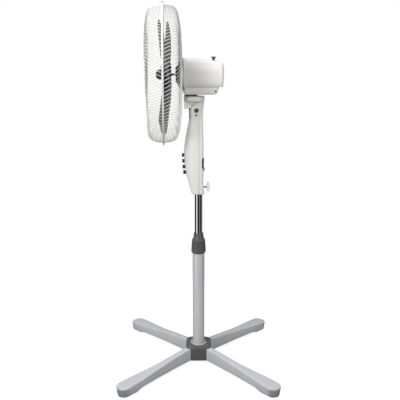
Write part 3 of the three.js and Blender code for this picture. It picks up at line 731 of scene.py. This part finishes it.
def make_gearbox_tray():
    """The tray under the motor: rounded at the rear and along its lower edges."""
    top = 932.7
    rear = [(0, 62), (4, 61.6), (12, 60), (19, 56.5), (22, 53), (23.7, 46)]
    rings = []
    for depth, inset in [(0, 0), (8, 0.2), (16, 0.8), (20, 2.0), (22.4, 4.2), (23.7, 8.5)]:
        back = straight(rear, depth)
        front = -48 + 0.25 * inset
        side = 43.5 - 0.9 * inset
        corner = 9
        outline = rounded([
            (side, front), (side, back), (-side, back), (-side, front),
        ], corner, closed=True, steps=6)
        rings.append([Vector((x * MM, y * MM, (top - depth) * MM)) for x, y in outline])
    vertices, faces = lofted(rings)
    solid_piece("gearbox_tray_shell", vertices, faces, "head", "housing_plastic",
                ("gearbox_tray",), sharp=40)
    for name, side in (("left", -1), ("right", 1)):
        node = f"housing_screw_{name}"
        centre = middle_of(node)
        profile = [(0, 40), (2.7, 40), (2.7, 43.4), (2.2, 44.3), (0.9, 44.5), (0.9, 43.7), (0, 43.7)]
        place = along_x(centre.y, centre.z)
        turned_piece(f"{node}_head", [(radius, side * reach) for radius, reach in profile], place,
                     "head", "screw_black", (node,), sides=24, round_edges=0.3)


def make_front_plate():
    turned_piece("front_plate_disc", [
        (4.1, -71), (18.6, -71), (19.7, -69.8), (19.7, -53.6), (46, -53.6), (50, -52.4), (50, -49.4),
        (14, -49.4), (14, -36), (4.1, -36),
    ], along_y(0, AXIS_Z), "head", "housing_plastic", ("front_plate",), sides=72)


def make_oscillation_knob():
    low, high = box_of("oscillation_knob")
    top = high.z / MM
    turned_piece("oscillation_knob_turned", [
        (0, low.z / MM), (5.2, low.z / MM), (5.2, top - 12), (4.6, top - 10), (4.7, top - 7),
        (5.8, top - 4.4), (7.9, top - 2.4), (8, top - 1), (6.6, top - 0.2), (5.8, top - 0.6), (0, top - 0.6),
    ], Matrix.Translation((KNOB.x, KNOB.y, 0)), "knob", "dark_plastic", ("oscillation_knob",),
        sides=48, round_edges=0.7)


def make_top_clip():
    outline = rounded([
        ((RIM_Y / MM) + y, (AXIS_Z / MM) + radius)
        for y, radius in [(-5, 218.4), (5, 218.4), (4.2, 221), (0, 224), (-4.2, 221)]
    ], 1.0, closed=True)
    vertices, faces = prism([(y * MM, z * MM) for y, z in outline], -7 * MM, 7 * MM)
    soften(solid_piece("top_clip_moulded", vertices, faces, "head", "leg_plastic", ("top_clip",)), 0.6 * MM)


# ------------------------------------------------------------------ neck
def make_neck():
    make_swivel()
    cap_profile = [
        (0, 886.5), (30.5, 886.5), (32.4, 887.4), (33, 889.5), (33, 900.5), (32.2, 902.3),
        (30, 902.9), (0, 902.9),
    ]
    turned_piece("neck_cap", cap_profile, Matrix.Translation((0, -14 * MM, 0)), "neck", "housing_plastic",
                 ("neck_bracket",), sides=96, round_edges=0.8)
    pivot_y, pivot_z = PIVOT.y / MM, PIVOT.z / MM
    arc = [
        (pivot_y + 18 * math.cos(turn), pivot_z + 18 * math.sin(turn))
        for turn in (math.pi + math.pi * step / 24 for step in range(25))
    ]
    tongue = [(pivot_y - 12.5, 888), *arc, (pivot_y + 22.5, pivot_z - 1), (18, 888)]
    vertices, faces = prism([(y * MM, z * MM) for y, z in tongue], -11.8 * MM, 11.8 * MM)
    soften(solid_piece("neck_tongue", vertices, faces, "neck", "housing_plastic"), 1.0 * MM)
    brow_arc = [
        (pivot_y - 23.8 * math.cos(turn), pivot_z + 23.8 * math.sin(turn))
        for turn in (math.radians(12 + 60 * step / 12) for step in range(13))
    ]
    brow = [(-45, 864), (pivot_y - 23.4, 864), *brow_arc, (-6, 888), (-45.5, 888)]
    vertices, faces = prism([(y * MM, z * MM) for y, z in brow], -19 * MM, 19 * MM)
    soften(solid_piece("neck_brow", vertices, faces, "neck", "housing_plastic"), 1.6 * MM)


def make_swivel():
    turned_piece("swivel_washer_disc", [
        (5.4, 903.2), (19, 903.2), (20, 904.2), (20, 907.6), (19, 908.7), (5.4, 908.7),
    ], Matrix.Translation((0, middle_of("swivel_washer").y, 0)), "neck", "dark_plastic",
        ("swivel_washer",))


# ------------------------------------------------------------------ control housing
CONTROL_STATIONS = [
    # height, front, rear, half-width
    (586, 22, 18.5, 20.5), (600, 27, 16.5, 23), (622, 33, 15, 27), (652, 40, 15, 32), (690, 45, 15, 35.5),
    (730, 47, 15, 37), (784, 39, 14.5, 33), (829, 30, 13.5, 26),
]
FRONT_SQUARENESS = 2.6
REAR_SQUARENESS = 4.5
SEAM = 0.35                         # half the width of the groove between the two covers


def control_size(height):
    """Front, rear and half-width of the control housing at a height, smoothly between stations."""
    columns = zip(*[(front, rear, half) for _, front, rear, half in CONTROL_STATIONS])
    heights = [station[0] for station in CONTROL_STATIONS]
    return [hermite(heights, list(column), height) for column in columns]


def hermite(places, values, at):
    """A smooth curve through the values, without overshoot at the ends."""
    last = len(places) - 1
    index = max(i for i in range(last) if places[i] <= at or i == 0)
    span = places[index + 1] - places[index]
    share = (at - places[index]) / span

    def slope(i):
        if i in (0, last):
            j = min(i, last - 1)
            return (values[j + 1] - values[j]) / (places[j + 1] - places[j])
        return (values[i + 1] - values[i - 1]) / (places[i + 1] - places[i - 1])

    squared, cubed = share ** 2, share ** 3
    return (
        (2 * cubed - 3 * squared + 1) * values[index]
        + (cubed - 2 * squared + share) * span * slope(index)
        + (3 * squared - 2 * cubed) * values[index + 1]
        + (cubed - squared) * span * slope(index + 1)
    )


def cover_ring(height, front_side, inset, points=36):
    """One cover's outline at a height: an arc of the housing, closed along the seam."""
    front, rear, half = control_size(height)
    power = 2 / (FRONT_SQUARENESS if front_side else REAR_SQUARENESS)
    depth = (front if front_side else rear) - inset
    way = -1 if front_side else 1
    ring = []
    for step in range(points + 1):
        turn = math.pi * step / points
        x = (half - inset) * math.copysign(abs(math.cos(turn)) ** power, math.cos(turn))
        y = SEAM + max(0.0, depth - SEAM) * abs(math.sin(turn)) ** power
        ring.append(Vector((x * MM, way * y * MM, height * MM)))
    return ring


def make_covers():
    """Two closed shells; they have no openings for the buttons and the clamp screw."""
    low, high = CONTROL_STATIONS[0][0], CONTROL_STATIONS[-1][0]
    levels = [(low, 1.4), (low + 0.5, 0.5), (low + 1.6, 0)]
    levels += [(low + 1.6 + (high - low - 3.2) * step / 60, 0) for step in range(1, 61)]
    for name, front_side in (("front", True), ("rear", False)):
        ends = [(high - 0.5, 0.5), (high, 1.4)] if not front_side else [(high, 0.0)]
        rings = [cover_ring(height, front_side, inset) for height, inset in levels + ends]
        vertices, faces = lofted(rings)
        node = f"control_cover_{name}"
        solid_piece(f"{node}_shell", vertices, faces, "column", "housing_plastic", (node,))
    make_ears()


def make_ears():
    """The two cheeks that hold the neck's tongue, blending down into the covers."""
    pivot_y, pivot_z = PIVOT.y / MM, PIVOT.z / MM
    foot = CONTROL_STATIONS[-1][0] - 16
    outline = [(pivot_y - 16.6, foot), (pivot_y + 21.2, foot)]
    for step in range(33):
        turn = math.pi * step / 32
        outline.append((pivot_y + 2.5 + 19.3 * math.cos(turn), pivot_z + 20 * math.sin(turn)))
    for name, low, high in (("left", -24.0, -12.2), ("right", 12.2, 24.0)):
        vertices, faces = prism([(y * MM, z * MM) for y, z in outline], low * MM, high * MM)
        piece = make_piece(f"control_ear_{name}", vertices, faces, "column", "housing_plastic")
        soften(face_outwards(piece), 2.4 * MM, segments=5)


def make_buttons():
    for node in ("button_off", "button_low", "button_medium", "button_high"):
        low, high = box_of(node)
        crown = 0.8 * MM
        outline = rounded([(low.x, low.z), (high.x, low.z), (high.x, high.z), (low.x, high.z)],
                          1.6 * MM, closed=True, steps=4)
        centre = (low + high) / 2
        rings = []
        depths = [
            (high.y, 1.0), (low.y + 1.8 * MM, 1.0), (low.y + crown, 0.97), (low.y + 0.25 * MM, 0.9),
            (low.y, 0.8),
        ]
        for y, shrink in depths:
            rings.append([
                Vector((centre.x + (x - centre.x) * shrink, y, centre.z + (z - centre.z) * shrink))
                for x, z in outline
            ])
        vertices, faces = lofted(rings)
        solid_piece(f"{node}_cap", vertices, faces, f"{node}_body", "button_plastic", (node,), sharp=50)


def make_rear_plate():
    """A blank dark plate that wraps the rear cover's corners."""
    low, high = box_of("rear_plate")
    rings = []
    bottom, top = low.z / MM, high.z / MM
    for height, inset in ((bottom, 0.5), (bottom + 0.7, 0), (top - 0.7, 0), (top, 0.5)):
        _, rear, half = control_size(height)
        outer, inner = [], []
        for step in range(49):
            turn = math.pi * step / 48
            power = 2 / REAR_SQUARENESS
            for line, margin in ((outer, 1.5 - inset), (inner, 0.0)):
                x = (half + margin) * math.copysign(abs(math.cos(turn)) ** power, math.cos(turn))
                y = (rear + margin) * abs(math.sin(turn)) ** power
                if y >= low.y / MM - 0.01:
                    line.append(Vector((x * MM, y * MM, height * MM)))
        count = min(len(outer), len(inner))
        skip_outer, skip_inner = (len(outer) - count) // 2, (len(inner) - count) // 2
        rings.append(outer[skip_outer:skip_outer + count] + inner[skip_inner:skip_inner + count][::-1])
    size = min(len(ring) for ring in rings)
    rings = [ring if len(ring) == size else ring[:size] for ring in rings]
    vertices, faces = lofted(rings)
    solid_piece("rear_plate_blank", vertices, faces, "column", "button_plastic", ("rear_plate",))


def make_tilt_joint():
    """The tilt screw's slotted head and the ribbed gaiter between the ears."""
    place = along_x(PIVOT.y, middle_of("tilt_screw").z)
    turned_piece("tilt_screw_head", [
        (0, 22), (3.5, 22), (3.5, 24.3), (7, 24.3), (7, 26.4), (6.3, 27.7), (4.2, 28), (3.6, 26.6),
        (0, 26.6),
    ], place, "column", "screw_black", ("tilt_screw",), sides=40, round_edges=0.5)
    # A thin near-black disc on the ear's face: painted shade where a hole would be.
    turned_piece("tilt_hole_rim", [(0, 23.8), (3.3, 23.8), (3.3, 24.15), (0, 24.15)],
                 along_x(PIVOT.y - 1 * MM, PIVOT.z - 15 * MM), "column", "button_plastic",
                 sides=32, round_edges=0.1)
    low, high = box_of("cable_gaiter")
    ribs = 9
    pitch = (high.z - low.z) / ribs
    outline = [(high.y, high.z), (high.y, low.z)]
    for rib in range(ribs):
        bottom = low.z + rib * pitch
        outline += [(low.y + 1.4 * MM, bottom), (low.y + 0.2 * MM, bottom + 0.3 * pitch),
                    (low.y + 0.2 * MM, bottom + 0.7 * pitch)]
    vertices, faces = prism(outline, low.x, high.x)
    soften(solid_piece("cable_gaiter_ribs", vertices, faces, "column", "dark_plastic",
                       ("cable_gaiter",)), 0.4 * MM, segments=2)


def make_clamp():
    low, high = box_of("clamp_knob")
    centre = (low + high) / 2
    outline = rounded([
        (26.2, -5), (27.2, -9), (28.2, -15.5), (30.4, -17), (33.2, -15), (36, -9), (37.4, -3), (37.6, 0),
        (37.4, 3), (36, 9), (33.2, 15), (30.4, 17), (28.2, 15.5), (27.2, 9), (26.2, 5),
    ], 2.0, closed=True, steps=3)
    vertices, faces = prism([(y * MM, centre.z + z * MM) for y, z in outline], low.x, high.x)
    soften(solid_piece("clamp_knob_wing", vertices, faces, "clamp", "knob_plastic",
                       ("clamp_knob",)), 1.8 * MM, segments=4)
    screw_low, screw_high = box_of("clamp_screw")
    profile = [(0, screw_low.y / MM)]
    turns = 9
    for turn in range(turns):
        start = screw_low.y / MM + 0.4 + turn * 1.3
        profile += [(2.1, start), (2.5, start + 0.65)]
    profile += [(2.1, screw_high.y / MM), (0, screw_high.y / MM)]
    turned_piece("clamp_screw_threaded", profile, along_y(0, centre.z), "clamp", "screw_black",
                 ("clamp_screw",), sides=32, round_edges=0.1)


def make_gland():
    low, high = box_of("cord_gland")
    centre = (low + high) / 2
    turned_piece("cord_gland_turned", [
        (3.2, 10.4), (7.4, 10.4), (7.4, 12.6), (5.2, 12.6), (5.2, 15), (6.4, 15.2), (6.4, 16.6),
        (5.2, 17.2), (4.8, 19.5), (3.2, 19.5),
    ], along_y(0, centre.z), "column", "dark_plastic", ("cord_gland",), sides=48, round_edges=0.4)


# ------------------------------------------------------------------ pole and collar
def make_tube(name, wall, body, slot, node, round_edges):
    low, high = box_of(node)
    outer, bottom, top = high.x / MM, low.z / MM, high.z / MM
    inner = outer - wall
    turned_piece(name, [(inner, bottom), (outer, bottom), (outer, top), (inner, top)],
                 UPRIGHT, body, slot, (node,), sides=96, round_edges=round_edges)


def make_tubes():
    make_tube("inner_tube_chromed", 1.3, "column", "chrome_tube", "inner_tube", 0.3)
    make_tube("outer_tube_painted", 1.2, "base", "pole_paint", "outer_tube", 0.4)
    inner, top = POLE_RADIUS / MM + 0.3, HUB_HIGH.z / MM
    turned_piece("pole_flange_cup", [
        (inner, top - 13.2), (27.5, top - 13.2), (27.5, top - 1), (26.9, top + 0.2),
        (25.4, top + 0.2), (24.6, top - 1.6), (23.4, top - 3.6), (inner, top - 4.4),
    ], UPRIGHT, "base", "pole_paint", ("pole_flange",), sides=96, round_edges=0.7)


def make_collar():
    ribs = 28
    stations = [
        # height, radius, depth of the grooves between the ribs
        (384, 20.6, 0), (384, 21.6, 0), (385.5, 23, 0), (389, 24, 0), (391.2, 24.6, 0), (392.6, 24.4, 0),
        (393.6, 24.2, 1.0), (398, 23.8, 1.1), (424, 22.0, 1.1), (427, 21.7, 0.9), (428.2, 21.7, 0),
        (429.4, 21.2, 0), (430, 20.2, 0), (430.4, 18.6, 0), (431.5, 18, 0), (447, 16, 0), (450.6, 15.6, 0),
        (452.4, 15, 0), (453, 13.9, 0), (453, 13.1, 0), (409, 13.1, 0), (408.6, 20.6, 0),
    ]
    points = ribs * 8
    rings = []
    for height, radius, depth in stations:
        ring = []
        for step in range(points):
            turn = TAU * step / points
            groove = depth * max(0.0, math.cos(ribs * turn)) ** 0.6
            reach = (radius - groove) * MM
            ring.append(Vector((reach * math.cos(turn), reach * math.sin(turn), height * MM)))
        rings.append(ring)
    vertices, faces = lofted(rings, capped=False)
    last = len(vertices) - points
    for side in range(points):
        after = (side + 1) % points
        faces.append([last + side, last + after, after, side])
    solid_piece("height_collar_ribbed", vertices, faces, "collar", "dark_plastic", ("height_collar",))


# ------------------------------------------------------------------ cross base
LEG_TOP = [
    (29, 56), (60, 53.8), (120, 49), (183, 42), (232, 38), (262, 36), (284, 34.5), (324, 32), (349, 31.5),
]
LEG_UNDER = [
    (29, 12), (120, 10.5), (183, 10), (232, 10), (258, 10), (272, 8.5), (284, 4), (294, 1.2), (349, 1),
]
LEG_HALF = [
    (29, 10.5), (120, 12), (183, 14.4), (232, 18.5), (262, 21.4), (284, 23.2), (324, 25), (349, 25),
]
LEG_REACH = 349
LEG_END = 25                        # radius of the rounded end
FOOT_TUCK = 4                       # how far the foot's sides lean in on their way down


def leg_section(half, under, top, edge):
    """Half-width, underside and top made into a ring with rolled top edges, tucked-in foot."""
    right = [(0, under), (half - 1.6, under), (half - 0.5, under + 0.5), (half, under + 1.8)]
    spring = top - edge
    right.append((half, under + (spring - under) * 0.5))
    for step in range(8):
        turn = math.pi / 2 * step / 7
        right.append((half - edge + edge * math.cos(turn), spring + edge * math.sin(turn)))
    right.append((0, top))
    left = [(-x, z) for x, z in right[-2:0:-1]]
    return right + left


def leg_part(degrees):
    turn = Matrix.Rotation(math.radians(degrees) + BASE_TURN, 4, "Z")
    stations = [29 + (LEG_REACH - LEG_END - 29) * step / 40 for step in range(41)]
    stations = [(reach, 0.0) for reach in stations]
    last_angle = math.radians(88)
    for step in range(1, 15):
        angle = last_angle * step / 14
        share = math.sin(angle) / math.sin(last_angle)
        stations.append((LEG_REACH - LEG_END + LEG_END * share, angle))
    rings = []
    for reach, angle in stations:
        half = straight(LEG_HALF, reach) * math.cos(angle)
        top = straight(LEG_TOP, reach) - 4 * (1 - math.cos(angle))
        under = straight(LEG_UNDER, reach)
        edge = min(3.6, half * 0.7)
        ring = []
        for x, z in leg_section(half, under, top, edge):
            depth = max(0.0, (top - edge - z) / (top - edge - under))
            tuck = FOOT_TUCK * depth * min(1.0, max(0.0, (reach - 250) / 60))
            along = reach - tuck * math.sin(angle)
            across = x - math.copysign(min(abs(x), tuck * math.cos(angle)), x)
            ring.append(turn @ Vector((along * MM, across * MM, z * MM)))
        rings.append(ring)
    return lofted(rings)


def make_base():
    for number, degrees in enumerate((45, 135, 225, 315), 1):
        vertices, faces = leg_part(degrees)
        solid_piece(f"leg_{number}_moulded", vertices, faces, "base", "leg_plastic", (f"leg_{number}",))
        centre = middle_of(f"foot_pad_{number}")
        turned_piece(f"foot_pad_{number}_moulded", [
            (0, 0), (13.5, 0), (15.4, 0.4), (16, 1.4), (16, 2.7), (0, 2.7),
        ], Matrix.Translation((centre.x, centre.y, 0)), "base", "foot_rubber", (f"foot_pad_{number}",),
            sides=48, round_edges=0.3)
    make_hub()


def square_ring(half, height, squareness, points=96):
    """A ring between a circle (squareness 2) and a rounded square."""
    base_turn = Matrix.Rotation(BASE_TURN, 3, "Z")
    ring = []
    for step in range(points):
        turn = TAU * (step + 0.5) / points
        x, y = math.cos(turn), math.sin(turn)
        reach = half / (abs(x) ** squareness + abs(y) ** squareness) ** (1 / squareness)
        ring.append(base_turn @ Vector((reach * x * MM, reach * y * MM, height * MM)))
    return ring


def make_hub():
    """The dark square hub, with a lip under it and a round seat for the pole's ring in its top."""
    low, high = HUB_LOW.z / MM, HUB_HIGH.z / MM
    crown = 8
    levels = [(low, 4.5), (low + 0.8, 3.2), (low + 3.2, 2.6), (low + 3.6, 0.6), (low + 5, 0)]
    levels += [(low + 5 + (high - crown - low - 5) * step / 4, 0) for step in range(1, 5)]
    for degrees in range(15, 91, 15):
        turn = math.radians(degrees)
        levels.append((high - crown + crown * math.sin(turn), crown * (1 - math.cos(turn))))
    rings = [square_ring(HUB_HALF - inset, height, 6) for height, inset in levels]
    seat = [(30.4, 0, 3.4), (28.6, 0, 2), (27.9, 0.8, 2), (27.8, 13.5, 2), (20.3, 13.5, 2), (20.3, 28, 2)]
    rings += [square_ring(radius, high - depth, squareness) for radius, depth, squareness in seat]
    vertices, faces = lofted(rings)
    solid_piece("base_hub_moulded", vertices, faces, "base", "dark_plastic", ("base_hub",))


# ------------------------------------------------------------------ stage, light and camera
FLOOR_HALF = 0.75


def make_stage():
    """A small sheet of pale paper; its edge can't be seen against the white surroundings."""
    mesh = bpy.data.meshes.new("floor")
    corners = [(-1, -1), (1, -1), (1, 1), (-1, 1)]
    mesh.from_pydata([(x * FLOOR_HALF, y * FLOOR_HALF, 0) for x, y in corners], [], [(0, 1, 2, 3)])
    floor = bpy.data.objects.new("floor", mesh)
    bpy.context.scene.collection.objects.link(floor)
    material = bpy.data.materials.new("floor_paper")
    material.use_nodes = True
    tree = material.node_tree
    paper = tree.nodes["Principled BSDF"]
    paper.inputs["Base Color"].default_value = (0.28, 0.28, 0.28, 1)
    paper.inputs["Roughness"].default_value = 0.95
    paper.inputs["Specular IOR Level"].default_value = 0.0
    glow = tree.nodes.new("ShaderNodeEmission")
    glow.inputs["Strength"].default_value = 0.84
    seen = tree.nodes.new("ShaderNodeAddShader")
    path = tree.nodes.new("ShaderNodeLightPath")
    choose = tree.nodes.new("ShaderNodeMixShader")
    links = tree.links.new
    links(paper.outputs["BSDF"], seen.inputs[0])
    links(glow.outputs["Emission"], seen.inputs[1])
    links(path.outputs["Is Camera Ray"], choose.inputs["Fac"])
    links(paper.outputs["BSDF"], choose.inputs[1])
    links(seen.outputs["Shader"], choose.inputs[2])
    links(choose.outputs["Shader"], tree.nodes["Material Output"].inputs["Surface"])
    mesh.materials.append(material)


def area_light(name, location, target, size, power):
    data = bpy.data.lights.new(name, "AREA")
    data.shape = "RECTANGLE"
    data.size, data.size_y = size
    data.energy = power
    light = bpy.data.objects.new(name, data)
    light.location = location
    light.rotation_euler = (Vector(target) - Vector(location)).to_track_quat("-Z", "Y").to_euler()
    bpy.context.scene.collection.objects.link(light)


# where a panel's edge stands round the room, from 0 to 1, and how bright it is there
PANELS = [
    (0.0, 0.3), (0.10, 0.3), (0.12, 0), (0.285, 0), (0.30, 1.0), (0.375, 0.9), (0.39, 0.11),
    (0.455, 0.1), (0.465, 0), (0.55, 0), (0.56, 0.25), (0.62, 0.25), (0.63, 0), (0.735, 0),
    (0.75, 0.14), (0.84, 0.14), (0.86, 0.4), (1.0, 0.3),
]
FILL_COLOR = (0.97, 0.985, 1.0, 1)
FILL_HEIGHTS = (-0.35, 0.6)         # from looking down to looking up
FILL_STRENGTHS = (0.16, 0.5)


def make_world():
    """White surroundings for the eye; glossy surfaces see tall bright and dark panels.

    The panels were set so that the chromed tube shows stripes like the photo's.
    """
    world = bpy.data.worlds.new("studio")
    bpy.context.scene.world = world
    world.use_nodes = True
    tree = world.node_tree
    tree.nodes.clear()
    add, link = tree.nodes.new, tree.links.new
    plain = add("ShaderNodeBackground")
    plain.inputs["Color"].default_value = (1, 1, 1, 1)
    plain.inputs["Strength"].default_value = 1.0
    split = add("ShaderNodeSeparateXYZ")
    link(add("ShaderNodeTexCoord").outputs["Generated"], split.inputs["Vector"])

    fill = add("ShaderNodeBackground")
    fill.inputs["Color"].default_value = FILL_COLOR
    height = add("ShaderNodeMapRange")
    height.inputs["From Min"].default_value, height.inputs["From Max"].default_value = FILL_HEIGHTS
    height.inputs["To Min"].default_value, height.inputs["To Max"].default_value = FILL_STRENGTHS
    link(split.outputs["Z"], height.inputs["Value"])
    link(height.outputs["Result"], fill.inputs["Strength"])

    around = add("ShaderNodeMath")
    around.operation = "ARCTAN2"
    link(split.outputs["Y"], around.inputs[0])
    link(split.outputs["X"], around.inputs[1])
    turn = add("ShaderNodeMapRange")
    turn.inputs["From Min"].default_value = -math.pi
    turn.inputs["From Max"].default_value = math.pi
    link(around.outputs["Value"], turn.inputs["Value"])
    ramp = add("ShaderNodeValToRGB")
    while len(ramp.color_ramp.elements) < len(PANELS):
        ramp.color_ramp.elements.new(0.5)
    for element, (at, value) in zip(ramp.color_ramp.elements, PANELS):
        element.position = at
        element.color = (value, value, value, 1)
    link(turn.outputs["Result"], ramp.inputs["Fac"])
    panels = add("ShaderNodeBackground")
    panels.inputs["Strength"].default_value = 1.0
    link(ramp.outputs["Color"], panels.inputs["Color"])

    path = add("ShaderNodeLightPath")
    by_gloss = add("ShaderNodeMixShader")
    link(path.outputs["Is Glossy Ray"], by_gloss.inputs["Fac"])
    link(fill.outputs["Background"], by_gloss.inputs[1])
    link(panels.outputs["Background"], by_gloss.inputs[2])
    by_eye = add("ShaderNodeMixShader")
    link(path.outputs["Is Camera Ray"], by_eye.inputs["Fac"])
    link(by_gloss.outputs["Shader"], by_eye.inputs[1])
    link(plain.outputs["Background"], by_eye.inputs[2])
    link(by_eye.outputs["Shader"], add("ShaderNodeOutputWorld").inputs["Surface"])


LIGHTS = [
    # name, place, what it points at, width and height, power
    ("key_above", (0.7, -1.5, 2.7), (0, 0, 0.6), (1.8, 1.8), 46),
    ("side_front", (2.4, -1.9, 1.6), (0, 0, 0.8), (1.2, 1.6), 54),
    ("side_rear", (2.2, 2.0, 1.7), (0, 0, 0.8), (1.2, 1.6), 34),
    ("back_top", (-1.6, 0.4, 2.7), (0, 0, 0.6), (2.0, 1.6), 16),
]


def make_lights():
    for settings in LIGHTS:
        area_light(*settings)


CAMERA_DISTANCE = 1.912
CAMERA_HEIGHT = 1.031
CAMERA_TILT = math.radians(11.34)   # below the horizon
CAMERA_LENS = 53.85
CAMERA_SHIFT = (0.0036, -0.063)


def make_camera():
    data = bpy.data.cameras.new("camera")
    data.sensor_width = 36
    data.lens = CAMERA_LENS
    data.shift_x, data.shift_y = CAMERA_SHIFT
    camera = bpy.data.objects.new("camera", data)
    away = Vector((math.cos(BASE_TURN), math.sin(BASE_TURN), 0))
    camera.location = away * CAMERA_DISTANCE + Vector((0, 0, CAMERA_HEIGHT))
    look = -away * math.cos(CAMERA_TILT) - Vector((0, 0, math.sin(CAMERA_TILT)))
    camera.rotation_euler = look.to_track_quat("-Z", "Y").to_euler()
    bpy.context.scene.collection.objects.link(camera)
    bpy.context.scene.camera = camera


def make_view():
    settings = bpy.context.scene.view_settings
    settings.view_transform = "Standard"
    settings.look = "None"


# ------------------------------------------------------------------ build
make_camera()
make_view()
make_world()
make_lights()
make_stage()
dress_cad_nodes()
make_guards()
make_guard_nut()
make_fan()
make_motor_housing()
make_gearbox_tray()
make_front_plate()
make_oscillation_knob()
make_top_clip()
make_neck()
make_covers()
make_buttons()
make_rear_plate()
make_tilt_joint()
make_clamp()
make_gland()
make_tubes()
make_collar()
make_base()
